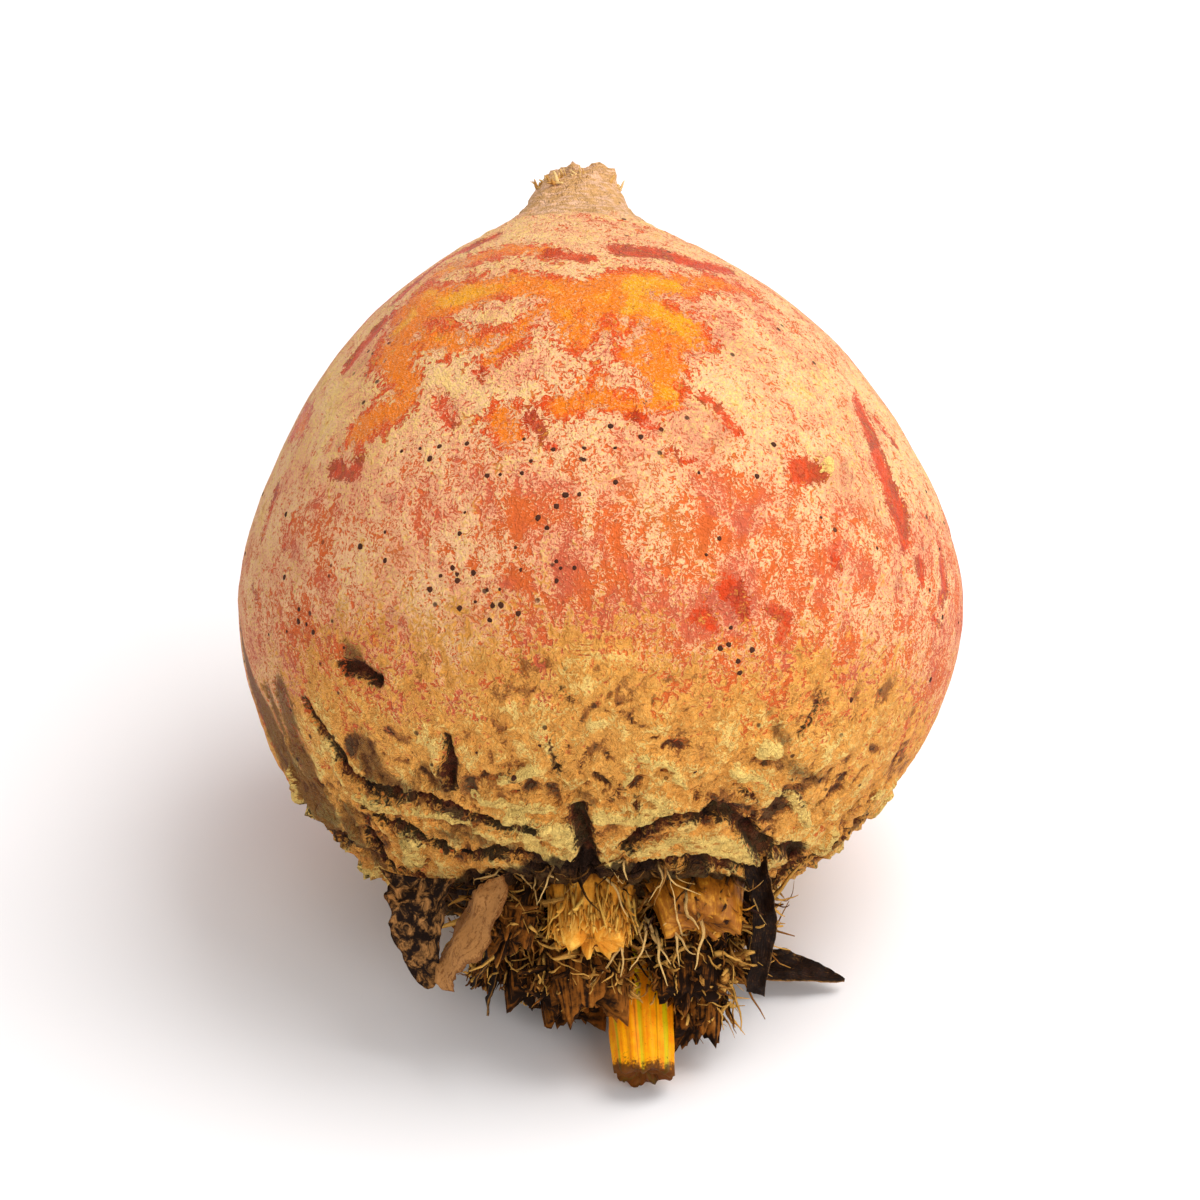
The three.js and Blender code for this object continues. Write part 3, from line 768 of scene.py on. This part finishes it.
class BEET_OT_root(bpy.types.Operator):
    """Grow the swollen root with its skin, cork, scars and broken tap root"""

    bl_idname = "beet.root"
    bl_label = "Root"

    def execute(self, context):
        settings = context.scene.beet_root_settings
        points, data = grown_root(settings)
        rows, around = points.shape[:2]
        mesh = bpy.data.meshes.new("root_with_skin")
        poles = np.array([points[0].mean(axis=0), points[-1].mean(axis=0)])
        index = np.arange(rows * around).reshape(rows, around)
        nextcol = np.roll(index, -1, axis=1)
        quads = np.stack([index[:-1], nextcol[:-1], nextcol[1:], index[1:]], axis=-1).reshape(-1, 4)
        crown_pole, tap_pole = rows * around, rows * around + 1
        crown_fan = [[crown_pole, b, a] for a, b in zip(index[0].tolist(), nextcol[0].tolist())]
        tap_fan = [[tap_pole, a, b] for a, b in zip(index[-1].tolist(), nextcol[-1].tolist())]
        whole = np.concatenate([points.reshape(-1, 3), poles])
        mesh.from_pydata(to_row(whole).tolist(), [], quads.tolist() + crown_fan + tap_fan)
        for key, field in data.items():
            values = field.reshape(rows * around, -1)
            ends = np.array([field[row].reshape(around, -1).mean(axis=0) for row in (0, -1)])
            values = np.concatenate([values, ends]).astype(np.float32)
            vector = values.shape[1] == 3
            layer = mesh.attributes.new(key, "FLOAT_VECTOR" if vector else "FLOAT", "POINT")
            layer.data.foreach_set("vector" if vector else "value", values.ravel())

        # One flat layout: round the girth across, crown to tap root upwards.
        column = np.arange(around)
        left, right = column / around, (column + 1) / around
        share = np.linspace(0.004, 0.996, rows)
        u = np.stack([left, right, right, left], axis=-1)[None].repeat(rows - 1, axis=0)
        low, high = share[:-1, None].repeat(around, 1), share[1:, None].repeat(around, 1)
        v = np.stack([low, low, high, high], axis=-1)
        laid = np.stack([u, v], axis=-1).reshape(-1, 2)
        middle = (left + right) / 2
        crown_uv = np.stack([middle, 0 * middle, right, 0 * middle + 0.004, left, 0 * middle + 0.004], -1)
        tap_uv = np.stack([middle, 0 * middle + 1, left, 0 * middle + 0.996, right, 0 * middle + 0.996], -1)
        laid = np.concatenate([laid, crown_uv.reshape(-1, 2), tap_uv.reshape(-1, 2)])
        mesh.uv_layers.new(name="OFBake").data.foreach_set("uv", laid.ravel())
        mesh.polygons.foreach_set("use_smooth", [True] * len(mesh.polygons))
        mesh.materials.append(skin_finish(settings).material)
        mesh.update()
        piece = bpy.data.objects.new("root_with_skin", mesh)
        context.scene.collection.objects.link(piece)
        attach(piece, "root")
        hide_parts("beet_root")
        pore_dots(points, settings)
        return {"FINISHED"}


# ------------------------------------------------------------------ stalk stubs

def stub_body(shape, stub, tint, rows=34, around=64, ribs=9, ragged=1.2, hollow=0.3, seed=0):
    """The solid part of a stub: a ribbed rod between two points with a torn, dished end."""
    start, end = np.array(stub["from"], float), np.array(stub["to"], float)
    axis = end - start
    length = np.linalg.norm(axis)
    axis = axis / length
    across = np.array([math.cos(stub.get("turn", 0)), math.sin(stub.get("turn", 0)), 0])
    outward = np.cross(axis, across)
    outward /= np.linalg.norm(outward)
    phase = np.linspace(0, 2 * math.pi, around, endpoint=False)
    v = np.linspace(0, 1, rows)[:, None]
    turned = np.broadcast_to(phase[None], (rows, around))
    where = np.stack([np.cos(phase) * 4, np.sin(phase) * 4, 0 * phase], -1)
    torn = ragged * (rough(where + seed, 1.1, seed + 3, 4) + 0.35 * np.cos(2 * phase + seed))
    ribbing = 1 + 0.06 * np.cos(ribs * phase + seed)[None] * (1 - 0.3 * v) + 0.05 * rough(
        np.stack(np.broadcast_arrays(where[:, 0][None] * 1.3, where[:, 1][None] * 1.3, v * length * 0.25), -1) + seed,
        1.2, seed + 5,
    )
    flare = 1 + 0.12 * (1 - v) ** 3 - 0.16 * v ** 2
    groove = 1 - hollow * np.maximum(np.cos(turned - math.pi * 1.5), 0) ** 2
    wide = stub["wide"] * flare * ribbing
    thick = stub["thick"] * flare * ribbing * groove
    bend = 0.35 * np.sin(v * 3.1 + seed)
    along = v * (length + torn[None] * smooth(v, 0.35, 1.0))
    rings = (start + along[..., None] * axis + (wide * np.cos(turned))[..., None] * across
             + (thick * np.sin(turned) + bend)[..., None] * outward)
    # The torn end dishes inwards with loose fibre ends standing in it.
    heart = rings[-1].mean(axis=0)
    inner = []
    for k, share in enumerate((0.82, 0.62, 0.42, 0.22, 0.06)):
        spot = heart + (rings[-1] - heart) * share
        depth = 0.55 * (1 - share) + 0.55 * rough(spot, 0.7, seed + 20 + k)
        inner.append(spot - depth[:, None] * axis)
    rings = np.concatenate([rings, np.array(inner)])
    count = len(rings)
    sunk = np.concatenate([np.zeros(rows), np.linspace(0.3, 1.0, count - rows)])
    shape.rings(
        rings,
        tint=np.full((count, around), tint),
        along=np.concatenate([v[:, 0], np.ones(count - rows)])[:, None].repeat(around, 1),
        across=(phase / 6.3)[None].repeat(count, 0),
        hollow=sunk[:, None].repeat(around, 1),
    )


def stub_strands(shape, generator, stub, count, tints, reach, thickness, curl, spread, splay):
    """Loose fibres that lie along a stub's sides and stand past its torn end."""
    start, end = np.array(stub["from"], float), np.array(stub["to"], float)
    axis = (end - start) / np.linalg.norm(end - start)
    length = np.linalg.norm(end - start)
    across = np.array([math.cos(stub.get("turn", 0)), math.sin(stub.get("turn", 0)), 0])
    outward = np.cross(axis, across)
    for _ in range(count):
        phase = generator.uniform(0, 2 * math.pi)
        depth = generator.uniform(0.55, spread)
        root = generator.uniform(0.1, 0.95)
        out = across * stub["wide"] * math.cos(phase) + outward * stub["thick"] * math.sin(phase)
        place = start + axis * length * root + out * depth
        heading = axis + out / np.linalg.norm(out) * generator.normal(0.0, splay)
        run = length * (1 - root) * generator.uniform(0.5, 1.0) + generator.uniform(*reach)
        path = wander(generator, place, heading, run, curl, 0.0, steps=8)
        path = above_floor(path)
        flat = generator.choice([1.0, 1.0, 2.2, 3.5])
        shape.strand(path, generator.uniform(*thickness), generator.uniform(*tints), 4, flat)


def above_floor(path, clear=0.12):
    """Lifts points of a path that would go through the surface the beet lies on."""
    level = to_row(path)[..., 2] / MM
    return path + np.maximum(clear - level, 0)[..., None] * TILTED[2]


def stalk_finish(name, slot_dark, slot_mid, slot_light, roughness=0.78, gloss=0.1, lime=None):
    """Fibrous stalk tissue: dark where old or hollow, lighter along its strands."""
    stalk = Finish(name, Specular_IOR_Level=gloss)
    tint, along = stalk.attribute("tint"), stalk.attribute("along")
    across, hollow = stalk.attribute("across"), stalk.attribute("hollow")
    where = stalk.node("ShaderNodeTexCoord", output="Object") * 1000.0
    threads = stalk.noise(
        stalk.node("ShaderNodeCombineXYZ", inputs={0: across * 46.0, 1: along * 2.4, 2: tint * 30.0}), 1.0, 3.0, 0.6
    )
    mottle = stalk.noise(where, 0.9, 4.0, 0.65)
    grit = stalk.noise(where, 4.5, 2.0, 0.6)
    shade = tint * 0.85 + (threads - 0.5) * 1.3 + (mottle - 0.5) * 0.9 + (along - 0.5) * 0.22 - hollow * 0.28
    tissue = stalk.mix(slot_dark, slot_mid, stalk.step(shade, 0.02, 0.42))
    tissue = stalk.mix(tissue, slot_light, stalk.step(shade, 0.40, 0.90))
    if lime:
        round_it = stalk.node("ShaderNodeCombineXYZ", inputs={0: across * 14.0})
        stripe = stalk.step(stalk.noise(round_it, 1.0, 2.0), 0.52, 0.60)
        finer = stalk.node("ShaderNodeCombineXYZ", inputs={0: across * 34.0, 1: 7.0})
        groove = stalk.step(stalk.noise(finer, 1.0, 1.0), 0.60, 0.70)
        tissue = stalk.mix(tissue, lime, stripe * 0.75)
        tissue = stalk.mix(tissue, slot_dark, groove * 0.5)
        cut_end = along + (mottle - 0.5) * 0.16 + (grit - 0.5) * 0.08 + hollow * 0.3
        tissue = stalk.mix(tissue, slot_dark, stalk.step(cut_end, 0.93, 0.98) * 0.93)
    tissue = stalk.mix(tissue, slot_dark, (1.0 - stalk.step(along + (mottle - 0.5) * 0.5, 0.0, 0.34)) * 0.8)
    tissue = stalk.darken(tissue, stalk.step(grit, 0.60, 0.74) * 0.35)
    stalk.feed(Base_Color=tissue, Roughness=roughness + (grit - 0.5) * 0.3)
    stalk.bump(threads * 0.8 + mottle * 0.3 + grit * 0.2, 0.00018, 0.7)
    return stalk


BASE = CROWN_PLATE + 0.6  # the stubs grow out of the crown's surface
GOLDEN = {"from": (3.6, 0.2, BASE), "to": (4.8, -3.5, -51.0), "wide": 3.5, "thick": 3.0}
TORN = {"from": (-0.6, -9.6, BASE), "to": (-0.7, -11.8, -38.4), "wide": 4.1, "thick": 2.4}
AMBER = {"from": (9.6, -9.4, BASE), "to": (10.4, -11.6, -37.0), "wide": 4.7, "thick": 2.4, "turn": 0.25}
OLD_STUBS = [
    {"from": (-1.6, -4.6, BASE), "to": (-0.9, -7.6, -44.0), "wide": 4.6, "thick": 1.9},
    {"from": (9.6, -3.8, BASE), "to": (9.2, -6.8, -43.2), "wide": 4.0, "thick": 2.1, "turn": 0.2},
    {"from": (10.0, 1.4, BASE), "to": (10.0, -1.4, -46.4), "wide": 3.1, "thick": 2.2},
    {"from": (-8.4, -6.8, BASE), "to": (-9.0, -9.0, -38.2), "wide": 3.2, "thick": 2.5, "turn": -0.5},
    {"from": (-6.6, -0.6, BASE), "to": (-6.6, -2.2, -42.4), "wide": 3.1, "thick": 2.2, "turn": -0.3},
    {"from": (-3.4, 4.4, BASE), "to": (-2.4, 2.6, -44.0), "wide": 3.7, "thick": 2.1},
    {"from": (3.8, 5.6, BASE), "to": (4.4, 4.6, -40.8), "wide": 3.4, "thick": 2.0},
    {"from": (10.6, 6.2, BASE), "to": (11.6, 5.6, -39.2), "wide": 3.0, "thick": 2.3, "turn": 0.6},
    {"from": (-9.8, 4.4, BASE), "to": (-10.8, 4.2, -39.8), "wide": 2.7, "thick": 2.1, "turn": -0.9},
    {"from": (-2.6, 9.4, BASE), "to": (-2.8, 9.4, -37.2), "wide": 3.4, "thick": 1.9, "turn": -0.2},
    {"from": (15.0, -1.8, BASE), "to": (16.2, -2.6, -36.6), "wide": 2.3, "thick": 2.1, "turn": 1.4},
]


class BEET_OT_stalks(bpy.types.Operator):
    """Grow the golden, torn, amber and old stalk stubs with their loose fibres"""

    bl_idname = "beet.stalks"
    bl_label = "Stalk stubs"

    def execute(self, context):
        settings = context.scene.beet_stalk_settings
        generator = np.random.default_rng(7)
        fresh = stalk_finish("fresh_golden_stalk", colour("4a2002"), colour("f28a00"), settings.golden, 0.5, 0.15,
                             settings.lime)
        torn = stalk_finish("torn_golden_stalk", colour("7a3e08"), colour("e0922a"), colour("ffcc60"), 0.8, 0.15)
        amber = stalk_finish("dried_amber_stalk", colour("2a0f04"), colour("96560c"), colour("d8942a"), 0.5, 0.2)
        old = stalk_finish("old_brown_stalk", settings.umber, settings.brown, settings.straw, 0.85, 0.12)

        shape = Shape()
        stub_body(shape, GOLDEN, 0.66, rows=44, around=96, ribs=11, ragged=0.55, hollow=0.12, seed=4)
        shape.build("golden_stalk_stub", fresh, ["stalk_stub_golden"])

        shape = Shape()
        stub_body(shape, TORN, 0.55, ragged=1.6, seed=9)
        stub_strands(shape, generator, TORN, 420, (0.4, 1.05), (-0.6, 0.6), (0.18, 0.38), 0.09, 1.08, 0.02)
        shape.build("torn_stalk_stub", torn, ["stalk_stub_torn"])

        shape = Shape()
        stub_body(shape, AMBER, 0.5, ragged=1.4, seed=12)
        stub_strands(shape, generator, AMBER, 110, (-0.1, 0.9), (-0.5, 1.2), (0.14, 0.4), 0.4, 1.08, 0.1)
        shape.build("amber_stalk_stub", amber, ["stalk_stub_amber"])

        for number, stub in enumerate(OLD_STUBS, start=1):
            shape = Shape()
            stub_body(shape, stub, 0.10 + 0.10 * math.sin(number * 2.1), ragged=2.0, seed=20 + number)
            stub_strands(
                shape, generator, stub, settings.strands, (0.0, 1.1), (-0.2, 1.3), (0.14, 0.42), 0.75, 1.22, 0.3
            )
            shape.build(f"old_stalk_stub_{number}", old, [f"stalk_stub_old_{number}"])
        return {"FINISHED"}


# ------------------------------------------------------------------ dried leaves

def smooth_path(corners, steps):
    """A rounded line through corner points."""
    corners = np.array(corners, float)
    ends = np.vstack([2 * corners[0] - corners[1], corners, 2 * corners[-1] - corners[-2]])
    result = []
    for t in np.linspace(0, len(corners) - 1 - 1e-6, steps):
        k, f = int(t), t - int(t)
        p0, p1, p2, p3 = ends[k:k + 4]
        result.append(0.5 * (2 * p1 + (p2 - p0) * f + (2 * p0 - 5 * p1 + 4 * p2 - p3) * f ** 2
                             + (3 * p1 - p0 - 3 * p2 + p3) * f ** 3))
    return np.array(result)


def leaf_sheet(shape, corners, across, width, curl=0.0, thickness=0.22, crumple=0.3, seed=0, rows=64, cols=22):
    """A thin dried sheet along a path, with torn edges, a crumpled face and a curl across it."""
    path = smooth_path(corners, rows)
    tangent = np.gradient(path, axis=0)
    tangent /= np.linalg.norm(tangent, axis=1, keepdims=True)
    over = np.cross(tangent, np.array(across, float))
    over /= np.linalg.norm(over, axis=1, keepdims=True)
    flat = np.cross(over, tangent)
    t = np.linspace(0, 1, rows)
    half = np.maximum(width(t), 0.25)[:, None] / 2
    s = np.linspace(-1, 1, cols)[None]
    outline = np.stack(np.broadcast_arrays(t[:, None] * 9, np.sign(s) * 3, 0 * t[:, None]), -1)
    edge = 1 + 0.16 * rough(outline, 1.0, seed)
    lateral = s * half * edge
    if curl:
        radius = half / curl
        turn = lateral / radius
        sideways, raised = radius * np.sin(turn), radius * (1 - np.cos(turn))
    else:
        sideways, raised = lateral, 0 * lateral
    face = path[:, None] + sideways[..., None] * flat[:, None] + raised[..., None] * over[:, None]
    wave = crumple * rough(face, 2.3, seed + 7, 4)
    face = face + wave[..., None] * over[:, None]
    body = thickness * (1 - 0.7 * np.abs(s) ** 3) / 2 * (1 + 0.4 * noise(face, 1.0, seed + 9))
    top, bottom = face + body[..., None] * over[:, None], face - body[..., None] * over[:, None]
    rings = above_floor(np.concatenate([top, bottom[:, ::-1]], axis=1), 0.05)
    both = np.concatenate([np.broadcast_to(s, (rows, cols)), np.broadcast_to(s[:, ::-1], (rows, cols))], axis=1)
    inside = np.concatenate([np.ones((rows, cols)), np.zeros((rows, cols))], axis=1)
    shape.rings(
        rings,
        edge=np.abs(both), along=np.broadcast_to(t[:, None], both.shape), inside=inside, side=both,
    )


def leaf_finish(name, blade, rim, inner, roughness=0.6):
    """A dried leaf: dark and wrinkled, with worn edges and faint veins."""
    leaf = Finish(name, Specular_IOR_Level=0.12)
    edge, along = leaf.attribute("edge"), leaf.attribute("along")
    inside, side = leaf.attribute("inside"), leaf.attribute("side")
    where = leaf.node("ShaderNodeTexCoord", output="Object") * 1000.0
    wrinkle = leaf.noise(where, 0.8, 5.0, 0.68, 0.8)
    grit = leaf.noise(where, 4.0, 3.0, 0.65)
    lines = leaf.noise(leaf.node("ShaderNodeCombineXYZ", inputs={0: side * 7.0, 1: along * 1.5}), 1.6, 2.0, 0.5)
    shade = leaf.mix(blade, rim, leaf.step(wrinkle * 0.6 + lines * 0.4 + grit * 0.5, 0.72, 0.92) * 0.8)
    shade = leaf.mix(shade, rim, leaf.step(edge + (grit - 0.5) * 0.3, 0.86, 1.0) * 0.8)
    shade = leaf.mix(shade, inner, inside * leaf.step(wrinkle, 0.30, 0.55))
    leaf.feed(Base_Color=shade, Roughness=roughness + (grit - 0.5) * 0.4)
    leaf.bump(wrinkle * 0.7 + lines * 0.6 + grit * 0.25, 0.0003, 0.8)
    return leaf


SCRAPS = [
    ([(-10.4, -2.6, -36.0), (-11.6, -2.4, -39.4), (-12.9, -3.2, -42.0)], 2.6),
    ([(-9.6, 0.8, -37.6), (-10.8, 1.0, -41.4), (-11.4, 1.4, -44.0)], 2.2),
    ([(-12.2, -0.6, -33.6), (-14.4, -1.0, -36.6), (-15.9, -2.2, -38.4)], 2.8),
]


class BEET_OT_leaves(bpy.types.Operator):
    """Shape the curled leaf base, the hanging strip, the leaf tip and the small scraps"""

    bl_idname = "beet.leaves"
    bl_label = "Dried leaves"

    def execute(self, context):
        settings = context.scene.beet_leaf_settings
        papery = leaf_finish("papery_leaf_base", settings.papery, colour("6b3c18"), colour("1a0b04"), 0.7)
        dark = leaf_finish("dried_dark_leaf", settings.dark, settings.rim, colour("1a0d07"), 0.55)

        shape = Shape()
        leaf_sheet(
            shape, [(-12.2, -11.0, -32.6), (-13.0, -11.6, -35.2), (-14.6, -10.0, -38.6), (-16.2, -6.8, -42.0)],
            (-0.25, 0.95, 0.1), lambda t: 13.0 * np.sin(math.pi * (0.30 + 0.68 * t)) ** 0.8 + 0.4,
            curl=0.45, crumple=0.55, seed=3,
        )
        leaf_sheet(
            shape, [(-17.4, -8.4, -31.4), (-18.0, -8.6, -35.0), (-17.8, -7.2, -38.6), (-17.0, -5.4, -42.2)],
            (0.95, -0.3, 0.1), lambda t: 8.0 * (1 - t) ** 0.6 + 0.5, curl=0.9, crumple=0.45, seed=6,
        )
        shape.build("curled_leaf_base", papery, ["leaf_scale_left"])

        shape = Shape()
        leaf_sheet(
            shape, [(16.0, -10.6, -29.6), (17.0, -9.2, -34.0), (16.9, -6.4, -38.4), (16.2, -2.6, -42.2)],
            (0.9, -0.4, 0), lambda t: 3.2 - 1.1 * t, curl=0.6, crumple=0.5, seed=5, cols=14,
        )
        shape.build("hanging_leaf_strip", dark, ["leaf_strip_right"])

        shape = Shape()
        leaf_sheet(
            shape, [(9.6, 8.6, -38.6), (14.8, 9.6, -38.0), (20.0, 9.6, -38.2), (25.6, 9.6, -39.2)],
            (0, 0.72, 0.7), lambda t: 5.4 * np.sin(math.pi * (0.12 + 0.87 * t)) ** 0.75, curl=0.5, crumple=0.35,
            thickness=0.35, seed=8,
        )
        shape.build("pointed_leaf_tip", dark, ["leaf_tip_right"])

        for number, (corners, size) in enumerate(SCRAPS, start=1):
            shape = Shape()
            leaf_sheet(
                shape, corners, (0.3, -0.9, 0.2), lambda t, size=size: size * (1 - t) ** 0.8 + 0.2,
                curl=0.7, crumple=0.4, seed=30 + number, rows=36, cols=12,
            )
            shape.build(f"dried_leaf_scrap_{number}", dark, [f"leaf_scrap_{number}"])
        return {"FINISHED"}


# ------------------------------------------------------------------ loose fibres and flakes

class BEET_OT_fibres(bpy.types.Operator):
    """Scatter dry threads and torn flakes over the crown and the broken tap root"""

    bl_idname = "beet.fibres"
    bl_label = "Threads and flakes"

    def execute(self, context):
        stalks = context.scene.beet_stalk_settings
        generator = np.random.default_rng(19)
        dry = stalk_finish("dry_threads", stalks.umber, colour("9c672c"), colour("f0c47a"), 0.8)
        pale = stalk_finish("tap_root_fibres", colour("7a4c1c"), colour("dba254"), colour("ffdc98"), 0.8)

        # Threads that grow out of the crown between the stubs.
        shape = Shape()
        for _ in range(420):
            angle, reach = generator.uniform(0, 2 * math.pi), 17.0 * math.sqrt(generator.uniform(0.02, 1.0))
            out = np.array([math.cos(angle), math.sin(angle), 0.0])
            start = out * reach + np.array([1.2, -1.0, CROWN_PLATE + 0.6 + 0.05 * max(reach - 9, 0) ** 1.4])
            heading = np.array([0, 0, -1.0]) + out * generator.normal(0.15, 0.35)
            path = wander(generator, start, heading, generator.uniform(1.5, 6.0), 0.7, 0.0, 9)
            shape.strand(above_floor(path), generator.uniform(0.12, 0.34), generator.uniform(0.0, 1.0) ** 1.5)
        # The long pale curved threads at the right of the crown.
        for _ in range(15):
            start = np.array([6.5, -11.5, -35.5]) + generator.normal(0, 1.0, 3) * np.array([2.4, 0.8, 1.0])
            heading = np.array([generator.normal(0.35, 0.5), -0.25, -1.0])
            path = wander(generator, start, heading, generator.uniform(4, 9.0), 0.36, 0.05, 14)
            shape.strand(above_floor(path), generator.uniform(0.22, 0.44), generator.uniform(0.75, 1.1), 5)
        shape.build("crown_threads", dry)

        # Ragged fibres round the broken tap root.
        shape = Shape()
        for _ in range(340):
            angle, reach = generator.uniform(0, 2 * math.pi), generator.uniform(0.5, 4.2)
            out = np.array([math.cos(angle), math.sin(angle), 0.0])
            start = out * reach + np.array([-2.2, 0.0, 43.8 - 0.16 * reach ** 1.5])
            heading = np.array([0, 0, 1.0]) + out * generator.normal(0.5, 0.4)
            path = wander(generator, start, heading, generator.uniform(0.6, 2.0), 0.4, 0.0, 6)
            shape.strand(path, generator.uniform(0.2, 0.55), generator.uniform(0.25, 1.0))
        shape.build("tap_root_fibres", pale)
        return {"FINISHED"}


# ------------------------------------------------------------------ stage

class BEET_OT_stage(bpy.types.Operator):
    """Set up the camera, the pale floor and the soft lights"""

    bl_idname = "beet.stage"
    bl_label = "Stage"

    def execute(self, context):
        settings = context.scene.beet_stage_settings
        low, high = CAD_BOX
        centre = (low + high) / 2
        scene = context.scene
        scene.view_settings.view_transform = "Standard"

        lens = bpy.data.cameras.new("camera")
        lens.sensor_width = 36.0
        lens.lens = 36.0 * settings.distance / settings.frame_width
        camera = bpy.data.objects.new("camera", lens)
        back = Vector((0, -math.cos(settings.elevation), math.sin(settings.elevation)))
        camera.location = centre + back * settings.distance
        camera.rotation_euler = (math.pi / 2 - settings.elevation, 0, 0)
        scene.collection.objects.link(camera)
        scene.camera = camera

        floor_mesh = bpy.data.meshes.new("floor")
        reach = 30.0
        floor_mesh.from_pydata([(-reach, -reach, 0), (reach, -reach, 0), (reach, reach, 0), (-reach, reach, 0)], [],
                               [(0, 1, 2, 3)])
        paper = Finish("floor_paper", Roughness=0.9, Specular_IOR_Level=0.1)
        grain = paper.noise(paper.node("ShaderNodeTexCoord", output="Object"), 3.0, 2.0)
        paper.feed(Base_Color=paper.mix((0.86, 0.84, 0.845), (0.88, 0.865, 0.87), grain))
        floor_mesh.materials.append(paper.material)
        floor = bpy.data.objects.new("floor", floor_mesh)
        scene.collection.objects.link(floor)

        world = bpy.data.worlds.new("soft_room")
        world.use_nodes = True
        sky = world.node_tree.nodes["Background"]
        sky.inputs["Color"].default_value = (1.0, 0.99, 0.98, 1)
        sky.inputs["Strength"].default_value = settings.ambient
        scene.world = world
        softboxes = [
            ("overhead", (0.28, 0.06, 0.56), 0.50, settings.overhead),
            ("front_fill", (0.34, -0.62, 0.26), 0.40, settings.overhead * 0.56),
        ]
        for name, place, size, power in softboxes:
            lamp = bpy.data.lights.new(name, "AREA")
            lamp.size, lamp.energy = size, power
            light = bpy.data.objects.new(name, lamp)
            light.location = centre + Vector(place)
            light.rotation_euler = Vector(place).to_track_quat("Z", "Y").to_euler()
            scene.collection.objects.link(light)
        return {"FINISHED"}


# ------------------------------------------------------------------ panel and main

class BEET_PT_panel(bpy.types.Panel):
    bl_label = "Beetroot"
    bl_idname = "BEET_PT_panel"
    bl_space_type = "VIEW_3D"
    bl_region_type = "UI"
    bl_category = "Beetroot"

    def draw(self, context):
        for operator in OPERATORS:
            self.layout.operator(operator.bl_idname)
        for name in SETTINGS:
            group = getattr(context.scene, name)
            box = self.layout.box()
            for key in group.__annotations__:
                box.prop(group, key)


SETTINGS = {
    "beet_root_settings": RootSettings,
    "beet_stalk_settings": StalkSettings,
    "beet_leaf_settings": LeafSettings,
    "beet_stage_settings": StageSettings,
}
OPERATORS = [BEET_OT_stage, BEET_OT_root, BEET_OT_stalks, BEET_OT_leaves, BEET_OT_fibres]


def register():
    for group in (*SETTINGS.values(), *OPERATORS, BEET_PT_panel):
        bpy.utils.register_class(group)
    for name, group in SETTINGS.items():
        setattr(bpy.types.Scene, name, PointerProperty(type=group))


def unregister():
    for name in SETTINGS:
        delattr(bpy.types.Scene, name)
    for group in (BEET_PT_panel, *OPERATORS, *SETTINGS.values()):
        bpy.utils.unregister_class(group)


def main():
    register()
    for operator in OPERATORS:
        group, name = operator.bl_idname.split(".")
        getattr(getattr(bpy.ops, group), name)()


if __name__ == "__main__":
    main()
